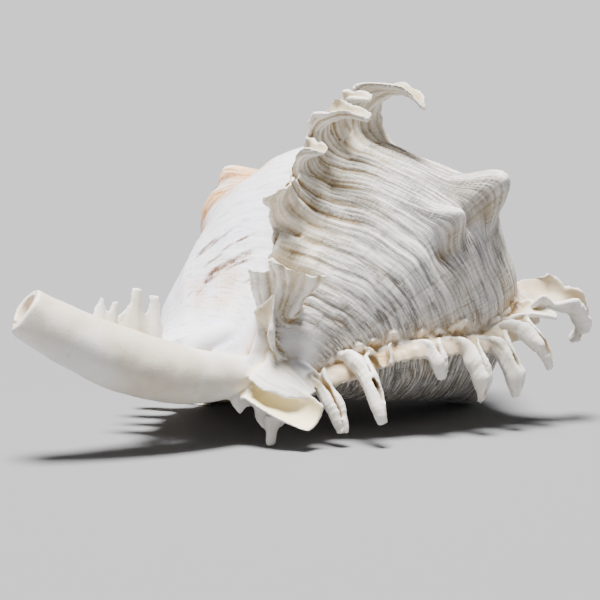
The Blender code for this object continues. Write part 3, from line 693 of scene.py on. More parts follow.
NEAR_RIB = (
    (53, 29.5, (8, 8.6, 8.4, 8, 6.6, 3.6), (-34, 122), (45, 95, 120), -0.2, (0, 0), -2, 7, (-2, 0.5)),
    (60, 13, (6, 5.6, 4.2, 1.6), (-30, 40), (50, 100, 120), 0, (0, 0), -2, 6, (2.5, 4)),
    (67.5, 19.5, (6.6, 7.8, 7.2, 3.6), (0, 78), (85, 167, 160), 0, (22, 36), -2, 6, (2.2, 1.5)),
    (78, 21.5, (6.8, 8, 7.6, 3.8), (5, 82), (85, 167, 160), 0, (22, 36), -2, 6, (-0.4, 0.8)),
    (89, 22, (6.4, 7.8, 7.2, 3.6), (5, 84), (85, 167, 160), 0, (22, 36), -2, 6, (-3.2, 0.3)),
    (100.5, 14, (5.2, 6.6, 6.2, 3.2), (5, 80), (85, 166, 160), 0, (18, 30), -2, 5, (-1.5, 0.8)),
    (108.5, 5, (4.6, 5, 5, 4.6), (0, 50), (45, 70, 80), 0, (0, 0), -2, 4, (0, 0)),
    (114.5, 8, (4.4, 6.6, 7, 6), (5, 60), (55, 130, 165), 0, (0, 0), -2, 4, (-1, 0.5)),
    (123.5, 24.5, (5.8, 7.6, 7, 3.8), (-5, 64), (85, 168, 162), 0.1, (26, 46), -2, 4, (0.8, 0.5)),
    (136.5, 20, (5.4, 7.2, 6.8, 4.2), (10, 66), (80, 162, 158), 0.35, (10, 10), -2, 4, (0.6, 0.3)),
)
# The lip's lower spines: place, length, half widths, lean and skirt.
LIP_ROWS = (
    (60, 19, (4.8, 4, 3, 1), (20, 105), 6),
    (68, 25, (5.8, 4.8, 3.8, 1.2), (25, 110), 6),
    (79, 24, (5.8, 4.8, 3.8, 1.2), (30, 110), 6),
    (90, 24, (5.8, 4.8, 3.8, 1.2), (35, 115), 6),
    (101, 22, (5.4, 4.4, 3.4, 1.2), (40, 115), 5),
    (111, 20, (5.2, 4.4, 3.4, 1.2), (45, 110), 5),
    (121, 18, (4.8, 4.2, 3.4, 1.2), (55, 105), 5),
)
LIP_FIRST = (53, 36, (8, 7, 5, 4, 3, 1), (10, 125), (35, 60, 80), -0.1, (0, 0), -2, 6, (0, 0))
LIP_RIB = (LIP_FIRST,) + tuple(row[:4] + ((40, 75, 95), 0, (0, 0), -2, row[4], (0, 0)) for row in LIP_ROWS)
CANAL_SPINES = (
    (70, 28, (4.6, 4.2, 3.4, 1.2), (70, 96)),
)
# Prongs on the far side of the canal: stand, heading, length and half widths.
PRONGS = (
    ((-47, -23.5, 26), (0.02, 0.30, 0.95), 17.5, (6, 6, 4.8, 2.4, 1.2)),
    ((-45, -22.5, 25.5), (0.12, 0.30, 0.95), 17, (6, 6, 4.6, 2.2, 1.1)),
    ((-39, -19.5, 23.5), (0.06, 0.30, 0.95), 22, (7, 7, 6.4, 3, 1.9)),
    ((-33, -15.5, 25.5), (-0.06, 0.30, 0.95), 17.5, (5, 5, 4.2, 3.2, 1.8)),
)
PRONG_BACK = (0.45, -0.80, 0.20)
CANAL_ROOT = 6.5
RIB_FRILL = 0.16
TUBE_FRILL = 0.035
OLD_RIBS = ((-360.0, 24.0), (-480.0, 2.0), (-600.0, 12.0), (-720.0, 22.0), (-840.0, 6.0))
OLD_WIDTHS = (8.0, 7.0, 5.0, 3.8, 2.4, 1.3)

# Small upright scales along the seam where the next turn starts: place along the
# axis, height and half width.
SEAM_SCALES = (
    (57.5, 5.5, 4.2), (63.5, 4.5, 4.6), (70.8, 4, 3.4), (80, 3.6, 5.4),
    (86.9, 8.6, 6.4), (94.6, 5, 4), (100.3, 5.4, 3.6), (109.5, 7, 4.2), (115.5, 6, 3.8),
    (119.8, 6, 4.8), (124.2, 5, 4.4), (128.4, 4.6, 3.6),
)
SCALE_WALL = 0.62


# The web that joins the spines of a rib: angle, first and last place along the
# axis, height between spines and how far it is thrown back.
COLLARS = (
    (TOP_ANGLE, 49, 108, 4, 10),
    (NEAR_ANGLE, 49, 134, 4.4, 50),
    (0, 49, 126, 2.6, 40),
)
COLLAR_ROOT = 6.0
COLLAR_COLUMNS = 320
COLLAR_ROWS = 16
COLLAR_WALL = 1.7
COLLAR_SUNK = 1.6
COLLAR_LEAN = 80.0
COLLAR_BEHIND = 0.5


def collar(grown, angle, first, last, reach, lean, seed):
    """The notched web, as one long sheet that peels off the shell as the spines do."""
    draw = np.random.default_rng(seed)
    steps = np.cumsum(draw.uniform(1.4, 3.4, 90))
    notch = draw.uniform(0.75, 1.2, 90) * np.resize((1.0, 0.62), 90)
    level = np.linspace(float(level_of(first)), float(level_of(last)), COLLAR_COLUMNS)
    ends = np.clip(np.minimum(level - level[0], level[-1] - level) / 9.0, 0.0, 1.0)
    long = reach * np.interp(level - level[0], steps, notch) * (0.25 + 0.75 * ends) + COLLAR_ROOT
    s = np.linspace(0.0, 1.0, COLLAR_ROWS)
    place_z, _ = outline_at(level)
    frames = [frame_at(angle - COLLAR_BEHIND + float(rib_shift(angle, z)), z) for z in place_z]
    base, out, back = (np.array([frame[k] for frame in frames])[:, None] for k in range(3))
    tilt = np.radians(-COLLAR_LEAN + (COLLAR_LEAN + lean) * ramp(s, 0.15, 0.95))[None, :]
    heading = swing(tilt, out, back)
    normal = swing(tilt, back, -out)
    walk = np.cumsum(heading * long[:, None, None] / (len(s) - 1), axis=1)
    line = base + back * COLLAR_ROOT * 0.9 - out * COLLAR_SUNK + walk
    _, lay = rib_root(angle, -COLLAR_BEHIND, float(place_z[0]))
    behind = COLLAR_ROOT * 0.9 * np.clip(1.0 - 1.6 * s, 0.0, 1.0)[None, :]
    held, where = lay((level - level[0])[:, None], behind)
    held = held - 0.5 * out
    outer = held + ramp(s, 0.1, 0.7)[None, :, None] * (line - held)
    inner = outer - normal * COLLAR_WALL * (1.0 - 0.55 * s)[None, :, None]
    where[..., 0] += s * 6.0
    grown.add_sheet(EDGE, outer, inner, where, s[None, :])


def canal_frame(far):
    up = along_bend(far, BEND[3])
    radial = radial_at(math.radians(LIP_ANGLE))
    out = (radial @ BEND[4]) * up + (radial @ BEND[5]) * BEND[5]
    heading = along_bend(far, BEND[2])
    back = np.cross(heading, out)
    back *= np.sign(back @ up)
    return along_bend(far, BEND[1]) + out * CANAL_ROOT, out, back, heading


# Parts that stand near the old canal of the rib on top, one by one: kind, base, or the
# angle behind the rib and place along the axis that give it, then first heading, the
# way the ridged back faces, length, half widths, lean, fold, skirt, pull, ripple and wall.
OLD_MOUTH = (
    (SPINE, (-15, 121), (0.15, -0.45, 0.87), (-0.20, -0.85, -0.50), 21.8, (4.6, 5, 6.2, 7.8, 9.4),
     (0, 36), (45, 45, 30), 5, (2.3, -0.3), 0.42, 0.7),
    (SPINE, (-4.6, -6, 33), (-0.04, -0.30, 0.95), (-0.35, -0.90, -0.20), 17.5, (3, 3.6, 4.2, 4.4),
     (0, 22), (45, 45, 30), 1.5, (-0.4, 0), 0.16, 0.7),
    (SPINE, (-10, 128.5), (0.10, -0.42, 0.90), (0.72, 0.60, -0.20), 16.4, (7, 6.6, 5, 1.4),
     (0, 8), (40, 65, 80), 8, (-0.2, 0.4), 0.05, 0.7),
    (CANAL, (-13, 134), (0.81, -0.43, -0.39), (0.20, -0.55, 0.81), 20.5, (8, 8.2, 8.2, 6.2, 2.4),
     (0, -8), (15, 20, 25), 6, (-0.6, -0.6), 0, 0.9),
    (CANAL, (-8.5, -12, 13.7), (0.88, -0.33, -0.36), (-0.1, 0.85, -0.5), 23, (4, 6.2, 7.4, 7.2, 6),
     (0, -8), (85, 85, 72), 2, (0, -0.6), 0, 0.8),
    (CANAL, (-3.5, -13.5, 9), (0, -0.35, -0.93), (-0.2, -0.9, 0.3), 7.5, (5.6, 5.8, 5, 2.4),
     (0, 10), (30, 40, 40), 0.5, (-0.5, 0), 0, 0.9),
)
PRICKLE_ROOT = (-3.0, -14.5, 8.0)
PRICKLE_END = (-3.6, -15.6, 0.2)
PRICKLE_RADII = (2.0, 1.6, 1.2, 0.8)


def cone(growth, kind, start, end, radii, sides):
    start = np.asarray(start, dtype=float)
    end = np.asarray(end, dtype=float)
    axis = (end - start) / np.linalg.norm(end - start)
    level = np.cross(axis, (0.0, 0.0, 1.0))
    level = level / np.linalg.norm(level) if np.linalg.norm(level) > 0.1 else np.array((1.0, 0.0, 0.0))
    up = np.cross(level, axis)
    line = start + (end - start) * np.linspace(0.0, 1.0, len(radii))[:, None]
    tube(growth, kind, line, np.tile(up, (len(radii), 1)), level, radii, sides)


def rib_spines(grown, angle, rib, seed):
    for k, (z, length, widths, lean, fold, drift, twist, shift, skirt, pull) in enumerate(rib):
        root = rib_root(angle, shift, z)
        frill = TUBE_FRILL if fold[1] > 150 else RIB_FRILL
        spine(grown, root, length, widths, lean, fold, seed + k, drift, twist, skirt, pull, frill=frill)


def all_spines(grown):
    rib_spines(grown, TOP_ANGLE, TOP_RIB, TOP_SEED)
    rib_spines(grown, NEAR_ANGLE, NEAR_RIB, NEAR_SEED)
    rib_spines(grown, 0.0, LIP_RIB, LIP_SEED)
    for k, (far, length, widths, lean) in enumerate(CANAL_SPINES):
        root = canal_root(far)
        spine(grown, root, length, widths, lean, (40, 75, 90), CANAL_SEED + k, skirt=2.0, frill=0.2)
    for k, (angle, length) in enumerate(OLD_RIBS):
        size = float(scale_at(angle))
        root = rib_root(angle, -2.0, 53.0)
        spine(grown, root, length * size, OLD_WIDTHS, (0.0, 110.0), (35, 60, 80), OLD_SEED + k, skirt=5.0,
              size=size)
    for k, (z, height, width) in enumerate(SEAM_SCALES):
        root = rib_root(NEAR_ANGLE, 0.0, z)
        widths = (width, width * 0.7, width * 0.32, 0.4)
        spine(grown, root, height, widths, (-66.0, -58.0), (20, 30, 30), SCALE_SEED + k, skirt=1.0,
              frill=0.05, wall=SCALE_WALL)


def hand_root(stand, out, back):
    """A spine's stand with its heading and back as given."""
    out = np.array(out, dtype=float)
    out /= np.linalg.norm(out)
    back = np.array(back, dtype=float)
    back -= (back @ out) * out
    back /= np.linalg.norm(back)
    down = np.cross(out, back)
    if len(stand) == 2:
        (base, _, _, rib_down), lay = rib_root(TOP_ANGLE, *stand)
        down *= np.sign(down @ rib_down)
    else:
        base = np.array(stand)
        lay = flat_lay(base, back, down, (-122.0, 138.0, 120.0))
    return (base, out, back, down), lay


def old_mouth(grown):
    """The fans and the open scoop that are left of the canal of the rib on top."""
    for k, row in enumerate(OLD_MOUTH):
        kind, stand, out, back, length, widths, lean, fold, skirt, pull, ripple, wall = row
        spine(grown, hand_root(stand, out, back), length, widths, lean, fold, MOUTH_SEED + k, skirt=skirt,
              pull=pull, ripple=ripple, frill=0.06, kind=kind, wall=wall)
    for k, (stand, out, length, widths) in enumerate(PRONGS):
        root = hand_root(stand, out, PRONG_BACK)
        spine(grown, root, length, widths, (0.0, 6.0), (40, 45, 60), PRONG_SEED + k, skirt=1.0, frill=0.25,
              kind=CANAL, wall=0.8)
    cone(grown, SPINE, PRICKLE_ROOT, PRICKLE_END, PRICKLE_RADII, 16)


def modifier(thing, name, kind, **settings):
    return with_settings(thing.modifiers.new(name, kind), settings)


def settled(thing):
    """The mesh that an object's modifiers make."""
    bpy.context.view_layer.update()
    mesh = bpy.data.meshes.new_from_object(thing.evaluated_get(bpy.context.evaluated_depsgraph_get()))
    bpy.data.objects.remove(thing)
    return mesh


def mesh_arrays(mesh):
    """Vertices in the shell's millimetres, and quads, of a voxel mesh."""
    verts = np.empty(len(mesh.vertices) * 3, dtype=np.float32)
    mesh.vertices.foreach_get("co", verts)
    loops = np.empty(len(mesh.loops), dtype=np.int32)
    mesh.loops.foreach_get("vertex_index", loops)
    return verts.reshape(-1, 3).astype(float) / MM + MIDDLE, loops.reshape(-1, 4)


def fuse(grown, cut):
    """One closed surface of all the grown solids less the hollows."""
    fused = grown.thing("fused")
    modifier(fused, "Fuse", "REMESH", mode="VOXEL", voxel_size=VOXEL * MM, adaptivity=0.0)
    cutters = []
    for k, hole in enumerate(cut):
        cutter = hole.thing(f"cutter_{k}")
        cutters.append(cutter)
        modifier(fused, f"Cut {k}", "BOOLEAN", operation="DIFFERENCE", solver="MANIFOLD", object=cutter)
    modifier(fused, "Knit", "REMESH", mode="VOXEL", voxel_size=VOXEL * MM, adaptivity=0.0)
    mesh = settled(fused)
    for cutter in cutters:
        bpy.data.objects.remove(cutter)
    return mesh_arrays(mesh)


class Waves:
    """Smooth noise made of plane waves of about the given length in millimetres."""

    def __init__(self, seed, length, count=28):
        draw = np.random.default_rng(seed)
        way = unit(draw.normal(size=(count, 3)))
        self.way = way * (2.0 * math.pi / length) * draw.uniform(0.55, 1.7, count)[:, None]
        self.start = draw.uniform(0.0, 2.0 * math.pi, count)
        self.scale = math.sqrt(2.0 / count)

    def at(self, points):
        total = np.zeros(len(points))
        for way, start in zip(self.way, self.start):
            total += np.sin(points @ way + start)
        return total * self.scale


# One round of smoothing draws points in and then lets them out again.
SMOOTH_SHARES = (0.55, -0.58)
SMOOTH_ROUNDS = 4


class Surface:
    """The fused surface with what the looks need to know about each of its points."""

    def __init__(self, verts, quads):
        self.verts = verts
        self.quads = quads
        pairs = np.concatenate([quads[:, [k, (k + 1) % 4]] for k in range(4)])
        pairs.sort(axis=1)
        pairs = np.unique(pairs[:, 0].astype(np.int64) * len(verts) + pairs[:, 1])
        self.first = pairs // len(verts)
        self.second = pairs % len(verts)
        self.degree = np.bincount(np.concatenate((self.first, self.second)), minlength=len(verts))

    def spread(self, values, rounds, share=0.5):
        """Average each point's values with its neighbours', a number of times."""
        values = np.array(values, dtype=float)
        flat = values.reshape(len(values), -1)
        for _ in range(rounds):
            for k in range(flat.shape[1]):
                column = flat[:, k]
                total = np.bincount(self.first, column[self.second], len(flat))
                total += np.bincount(self.second, column[self.first], len(flat))
                flat[:, k] = column + share * (total / self.degree - column)
        return values

    def around(self, kinds, rounds):
        """From 0 to 1, how much of a point's surroundings is of the given kinds."""
        return self.spread(np.isin(self.kind, kinds).astype(float), rounds)

    def foot(self):
        """From 0 to 1 where the body smooths out towards the canal."""
        theta, _, level = self.coords.T[:3]
        nearer = 0.6 * np.clip(theta + 136.0, 0.0, 22.0) + 9.0 * ramp(theta, -200.0, -170.0)
        return ramp(level + nearer, 134.0, 149.0) * (self.kind == BODY)

    def normals(self):
        a, b, c, d = (self.verts[self.quads[:, k]] for k in range(4))
        face = np.cross(c - a, d - b)
        normals = np.zeros_like(self.verts)
        for k in range(4):
            for axis in range(3):
                normals[:, axis] += np.bincount(self.quads[:, k], face[:, axis], len(self.verts))
        return normals / np.maximum(np.linalg.norm(normals, axis=1), 1e-9)[:, None]

    def smooth(self, rounds):
        """Take the voxel grain off without shrinking the form."""
        for _ in range(rounds):
            for share in SMOOTH_SHARES:
                self.verts = self.spread(self.verts, 1, share)

    def look_up(self, growths):
        """For each point, the nearest of the grown surfaces and the place on it."""
        parts = [growth.arrays() for growth in growths]
        starts = np.cumsum([0] + [len(part[0]) for part in parts[:-1]])
        quads = np.concatenate([part[1] + start for part, start in zip(parts, starts)])
        verts, coords, kinds = (np.concatenate([part[k] for part in parts]) for k in (0, 2, 3))
        tree = BVHTree.FromPolygons(verts.tolist(), quads.tolist())
        found = [tree.find_nearest(v)[2] for v in self.verts.tolist()]
        corners = quads[np.array(found)]
        gap = np.linalg.norm(verts[corners] - self.verts[:, None, :], axis=2)
        weight = 1.0 / (gap + 0.05) ** 2
        weight /= weight.sum(axis=1)[:, None]
        self.coords = (coords[corners] * weight[:, :, None]).sum(axis=1)
        self.kind = kinds[corners[:, 0]]


# Seed and length in mm of each smooth noise.
LINE_WAVES = (11, 1.0)
LUMP_WAVES = (12, 14.0)
KNOT_WAVES = (14, 6.0)
BLOTCH_WAVES = (21, 30.0)
PATCH_WAVES = (22, 9.0)
SPECK_WAVES = (23, 3.0)


# Heights in mm of the three kinds of cord, the growth lines, the lumps and the knots.
CORD_HEIGHTS = (0.50, 0.42, 0.05)
LINE_HEIGHT = 0.022
LUMP_HEIGHT = 0.16
KNOT_HEIGHT = 0.10


def carve(surface):
    """Raise the cords, growth lines and grain, and note the grooves, where dirt and painted shade gather."""
    theta, z, level, late, side = surface.coords.T
    kind = surface.kind
    spiny = surface.around((SPINE, EDGE), 2)
    striped = surface.spread((np.isin(kind, (BODY, SPINE, EDGE)) & (side >= 0.0)).astype(float), 3)
    broad, middle, fine, strength = cords(theta, z, level)
    newest = ramp(theta, -117.0, -108.0) * (kind == BODY)
    near_rib = np.zeros(len(theta))
    for angle in RIB_ANGLES:
        there = theta - rib_shift(angle, z)
        rise = ramp(there, angle - 46.0, angle - 8.0) * (there <= angle + 3.0)
        near_rib = np.maximum(near_rib, rise * (0.35 if angle in (0.0, NEAR_ANGLE) else 1.0))
    sides = surface.spread(((theta < NEAR_SIDE) | (theta > LIP_SIDE)).astype(float), 3)
    near_rib = np.maximum(near_rib, spiny)
    power = (0.85 + 1.45 * near_rib) * (1.0 - 0.6 * newest) * striped * (1.0 - 0.4 * late)
    power *= 1.0 - 0.9 * surface.foot()
    power *= 1.0 - 0.55 * bell(theta, -181.0, 9.0) * ramp(-z, -84.0, -60.0) * (kind == BODY)
    power *= 1.0 - 0.82 * spiny * sides
    tall, lower, least = CORD_HEIGHTS
    height = power * (tall * (broad - 0.5) + lower * (middle - 0.4) * strength + least * (fine - 0.3))
    lines = Waves(*LINE_WAVES).at(np.stack((theta * 0.9, 0.06 * z, 0.0 * z), axis=1))
    height += striped * LINE_HEIGHT * lines * (1.0 + 0.8 * bell(theta, -222.0, 12.0))
    lumps = Waves(*LUMP_WAVES).at(surface.verts)
    knots = Waves(*KNOT_WAVES).at(surface.verts)
    height += LUMP_HEIGHT * lumps * (0.5 + 0.9 * spiny) + KNOT_HEIGHT * knots * (0.25 + spiny)
    surface.verts = surface.verts + surface.normals() * height[:, None]
    # How deep each point lies in the grooves between the cords, where dirt and painted shade are laid.
    surface.cord = power * np.clip(1.15 - 0.8 * middle * strength - 0.75 * broad, 0.0, 1.2)
    surface.near_rib = near_rib


def tint(surface):
    """Where each stain, tint and painted shade of the finish gathers, as values from 0 to 1."""
    verts = surface.verts
    normals = surface.normals()
    theta, z, level = surface.coords.T[:3]
    kind = surface.kind
    near = surface.spread(verts, 6)
    wide = surface.spread(near, 40)
    fine_hollow = np.sum((near - verts) * normals, axis=1)
    wide_hollow = np.sum((wide - near) * normals, axis=1)
    blotch = Waves(*BLOTCH_WAVES).at(verts)
    patch = Waves(*PATCH_WAVES).at(verts)
    speck = Waves(*SPECK_WAVES).at(verts)
    body = kind == BODY
    seam = np.zeros(len(theta))
    for angle in (NEAR_ANGLE, TOP_ANGLE):
        there = theta - rib_shift(angle, z)
        seam = np.maximum(seam, bell(there, angle + 2.0, 2.2) * body)
    seam = surface.spread(np.maximum(seam, 0.7 * (kind == EDGE)), 5)
    return dict(
        # Crevices take dirt and painted shade.
        crevice_dirt_and_shade=np.clip(fine_hollow / 0.16 + wide_hollow / 1.3 + 0.15 * patch - 0.05, 0.0, 1.0),
        crest=np.clip(-fine_hollow / 0.14 - wide_hollow / 2.5, 0.0, 1.0),
        spiny=surface.around((SPINE, EDGE), 4),
        inside=surface.around((MOUTH, BOWL), 6),
        canal=surface.around((CANAL,), 20),
        late=surface.spread(ramp(theta, -119.0, -112.0) * body, 8),
        plain=surface.spread(surface.foot(), 4),
        rib=surface.spread(surface.near_rib, 3),
        hollow=np.clip(-surface.spread(surface.coords[:, 4], 3), 0.0, 1.0),
        # Grooves take dirt and painted shade.
        groove_dirt_and_shade=np.clip(surface.cord, 0.0, 1.5) / 1.5,
        # Broad dips take dirt and painted shade.
        dip_dirt_and_shade=np.clip(wide_hollow / 0.9 + 0.2 * patch, 0.0, 1.0),
        # Tan marks stains, and the painted shade below the knobs.
        tan_and_knob_shade=stain_and_shade_spots(theta, z, TAN_STAINS_AND_KNOB_SHADE, patch) * body,
        warm=stain_and_shade_spots(theta, z, WARM_STAINS, patch) * body,
        brown=dashes(theta, z, speck) * body,
        pink=np.clip(seam * (0.75 + 0.35 * patch), 0.0, 1.0),
        blotch=0.5 + 0.25 * blotch + 0.12 * patch,
        grow=theta * 0.9,
        level=level,
    )


# Brown dashes along the cords of the newest turn: growth angle, place along the
# axis, length in degrees, width in mm along the axis and strength.
DASHES = (
    (-94, 109.4, 11, 1.5, 0.75), (-90, 111.6, 8, 1.3, 1), (-84, 115, 4, 1.9, 0.9),
    (-98, 110.4, 6, 0.7, 0.7), (-83.7, 108.2, 5, 0.6, 0.85), (-78.5, 99.4, 5, 2, 0.85),
    (-86, 97, 6, 1, 0.5), (-94.4, 101.5, 7, 0.6, 0.9), (-88, 105, 3, 0.4, 0.4),
    (-104, 116, 2.6, 0.4, 0.6), (-72, 112, 2.5, 0.4, 0.45), (-66, 116, 2.2, 0.4, 0.5),
    (-61, 119, 2.2, 0.4, 0.4), (-70, 121, 2.6, 0.4, 0.4), (-78, 120, 3, 0.4, 0.35),
    (-64, 61, 8, 0.9, 0.5), (-70, 66, 7, 0.8, 0.4),
)
DASH_SLOPE = 0.45


def dashes(theta, z, speck):
    total = np.zeros(len(theta))
    for angle, where, long, wide, power in DASHES:
        run = (theta - angle) / long
        off = (z - where - DASH_SLOPE * (theta - angle)) / wide
        total = np.maximum(total, power * np.exp(-(run**4)) * np.exp(-(off**4)))
    return np.clip(total * (1.0 + 0.35 * speck), 0.0, 1.0)


# Soft stains and painted shade: growth angle, place along the axis, reach in degrees, reach in mm
# and strength. The tan ones are tan stains, and below the knobs they also paint the shade of the knobs'
# lower sides; the warm ones lie on the newest knobs.
TAN_STAINS_AND_KNOB_SHADE = (
    (-184.5, 61.5, 2.6, 2.6, 0.8), (-186, 77, 3.6, 3.4, 0.9), (-184, 68, 2, 1.4, 0.7),
    (-176, 61, 6, 4, 0.35), (-206, 56, 9, 4, 0.5), (-214, 62, 10, 3, 0.6),
    (-208, 78, 12, 6, 0.45), (-222, 96, 10, 9, 0.5), (-160, 52, 6, 2, 0.6),
)
WARM_STAINS = (
    (-70, 56, 12, 8, 1), (-60, 63, 11, 6, 1), (-58, 70, 9, 6, 0.8),
    (-84, 118, 12, 5, 0.35),
)


def stain_and_shade_spots(theta, z, spots, patch):
    total = np.zeros(len(theta))
    for angle, where, wide, long, power in spots:
        spot = power * bell(theta, angle, wide) * bell(z, where, long)
        total = np.maximum(total, spot)
    return np.clip(total * (1.0 + 0.35 * patch), 0.0, 1.0)


# Growth angles that part the turns and the ribs from each other.
SPIRE_TURN = -480.0
LIP_SIDE = -60.0
NEAR_SIDE = -180.0


def region_labels(surface):
    """Which piece of the shown shell each face belongs to."""
    theta = surface.coords[:, 0]
    kind = surface.kind
    label = np.zeros(len(theta), dtype=int)
    label[kind == BODY] = np.digitize(theta[kind == BODY], (SPIRE_TURN, NEAR_ANGLE, TOP_ANGLE))
    label[kind == MOUTH] = 4
    label[np.isin(kind, (CANAL, BOWL))] = 5
    ribbed = np.isin(kind, (SPINE, EDGE))
    label[ribbed & (theta > LIP_SIDE)] = 6
    label[ribbed & (theta <= LIP_SIDE) & (theta > NEAR_SIDE)] = 7
    label[ribbed & (theta <= NEAR_SIDE)] = 8
    return label[surface.quads[:, 0]]


PIECES = ("shell_spire", "shell_older_turn", "shell_near_turn", "shell_last_turn", "shell_mouth",
          "shell_canal", "shell_lip_spines", "shell_top_spines", "shell_near_spines")


LEAST_ISLAND = 600


def tidy_labels(surface, label):
    """Give islands of fewer faces than the least to the piece around them."""
    quads = surface.quads
    count = len(quads)
    edge_key = []
    face_of = []
    for k in range(4):
        a = quads[:, k].astype(np.int64)
        b = quads[:, (k + 1) % 4].astype(np.int64)
        edge_key.append(np.minimum(a, b) * len(surface.verts) + np.maximum(a, b))
        face_of.append(np.arange(count))
    edge_key = np.concatenate(edge_key)
    face_of = np.concatenate(face_of)
    order = np.argsort(edge_key, kind="stable")
    edge_key = edge_key[order]
    face_of = face_of[order]
    same = edge_key[1:] == edge_key[:-1]
    left = face_of[:-1][same]
    right = face_of[1:][same]
    for _ in range(3):
        joined = label[left] == label[right]
        island = components(count, left[joined], right[joined])
        sizes = np.bincount(island, minlength=count)
        small = sizes[island] < LEAST_ISLAND
        if not small.any():
            break
        for _ in range(60):
            a = small[left] & ~small[right]
            b = small[right] & ~small[left]
            if not (a.any() or b.any()):
                break
            label[left[a]] = label[right[a]]
            label[right[b]] = label[left[b]]
            small[left[a]] = False
            small[right[b]] = False
    return label


def components(count, left, right):
    label = np.arange(count)
    while True:
        low = np.minimum(label[left], label[right])
        new = label.copy()
        np.minimum.at(new, left, low)
        np.minimum.at(new, right, low)
        new = new[new]
        if np.array_equal(new, label):
            return label
        label = new


def show(surface, values, material):
    """Split the surface into pieces that share its normals."""
    normals = surface.normals()
    label = tidy_labels(surface, region_labels(surface))
    for number, name in enumerate(PIECES):
        quads = surface.quads[label == number]
        if len(quads) == 0:
            continue
        used = np.unique(quads)
        index = np.zeros(len(surface.verts), dtype=np.int64)
        index[used] = np.arange(len(used))
        mesh = bpy.data.meshes.new(name)
        mesh.from_pydata((surface.verts[used] - MIDDLE) * MM, [], index[quads].tolist())
        mesh.shade_smooth()
        for key, value in values.items():
            attribute = mesh.attributes.new(key, "FLOAT", "POINT")
            attribute.data.foreach_set("value", value[used].astype(np.float32))
        mesh.normals_split_custom_set_from_vertices(normals[used])
        mesh.materials.append(material)
        piece = add_object(name, mesh)
        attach(piece, "root")
        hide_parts("shell")


class Shader:
    """Short ways to add and join the nodes of a material."""

    def __init__(self, name):
        self.material = bpy.data.materials.new(name)
        self.material.use_nodes = True
        self.tree = self.material.node_tree
        self.surface = self.tree.nodes["Principled BSDF"]

    def node(self, kind, **settings):
        return with_settings(self.tree.nodes.new(kind), settings)

    def put(self, socket, value):
        if isinstance(value, bpy.types.NodeSocket):
            self.tree.links.new(value, socket)
        else:
            socket.default_value = value

    def value(self, name):
        return self.node("ShaderNodeAttribute", attribute_name=name).outputs["Fac"]

    def math(self, operation, a, b=0.0, clamp=False):
        made = self.node("ShaderNodeMath", operation=operation, use_clamp=clamp)
        self.put(made.inputs[0], a)
        self.put(made.inputs[1], b)
        return made.outputs[0]

    def mix(self, share, a, b):
        made = self.node("ShaderNodeMix", data_type="RGBA", clamp_factor=True)
        self.put(made.inputs[0], share)
        for socket, tone in ((made.inputs[6], a), (made.inputs[7], b)):
            self.put(socket, tone + (1.0,) if isinstance(tone, tuple) else tone)
        return made.outputs[2]

    def remap(self, value, low, high, to_low=0.0, to_high=1.0):
        made = self.node("ShaderNodeMapRange", clamp=True)
        for socket, v in zip(made.inputs, (value, low, high, to_low, to_high)):
            self.put(socket, v)
        return made.outputs[0]

    def noise(self, scale, detail=4.0, roughness=0.55, vector=None):
        made = self.node("ShaderNodeTexNoise")
        self.put(made.inputs["Scale"], scale)
        self.put(made.inputs["Detail"], detail)
        self.put(made.inputs["Roughness"], roughness)
        if vector is None:
            vector = self.node("ShaderNodeTexCoord").outputs["Object"]
        self.put(made.inputs["Vector"], vector)
        return made.outputs[0]

    def vector(self, x, y, z):
        made = self.node("ShaderNodeCombineXYZ")
        for socket, v in zip(made.inputs, (x, y, z)):
            self.put(socket, v)
        return made.outputs[0]

    def times(self, first, *others):
        for other in others:
            first = self.math("MULTIPLY", first, other)
        return first

    def rest(self, value):
        return self.math("SUBTRACT", 1.0, value)

    def layer(self, under, over, *shares):
        """Lay one colour over another by the product of the shares."""
        return self.mix(self.times(*shares), under, over)

    def flow(self, along, across, apart, detail=3.0, roughness=0.6):
        """Noise that runs with the cords: its pace along them and across them."""
        x = self.times(self.value("grow"), along)
        y = self.times(self.value("level"), across)
        return self.noise(1.0, detail, roughness, self.vector(x, y, apart))


WHITE = (0.91, 0.90, 0.88)
COOL = (0.80, 0.82, 0.89)
GREY = (0.27, 0.27, 0.28)
TAN = (0.38, 0.32, 0.235)
# Ochre and the deep tint paint dirt and shade in crevices.
OCHRE = (0.47, 0.33, 0.13)
DEEP_DIRT_AND_SHADE = (0.31, 0.23, 0.13)
CREAM = (0.93, 0.86, 0.64)
BEIGE = (0.62, 0.52, 0.34)
# The stain tint paints tan stains and the shade below the knobs.
STAIN_AND_SHADE = (0.44, 0.35, 0.22)
# The groove tints paint dirt and shade in the grooves.
COLD_GROOVE_DIRT_AND_SHADE = (0.33, 0.32, 0.31)
WARM_GROOVE_DIRT_AND_SHADE = (0.45, 0.36, 0.21)
PEACH = (0.80, 0.58, 0.36)
RUST = (0.60, 0.33, 0.15)
PINK = (0.84, 0.62, 0.52)
BROWN = (0.22, 0.11, 0.06)
INNER = (0.88, 0.80, 0.70)
LATE_WHITE = (0.83, 0.83, 0.90)
CANAL_WHITE = (0.88, 0.85, 0.79)
SPINE_WHITE = (0.92, 0.90, 0.86)
SPINE_CREAM = (0.80, 0.74, 0.62)

# Power that deepens every tint, so that they hold up in bright light.
TINT_DEPTH = 1.75


# Spacing of the finest cords in mm, and the strength and depth of the bump.
FINE_SPACING = 0.62
BUMP_STRENGTH = 0.35
BUMP_DEPTH = 0.0002


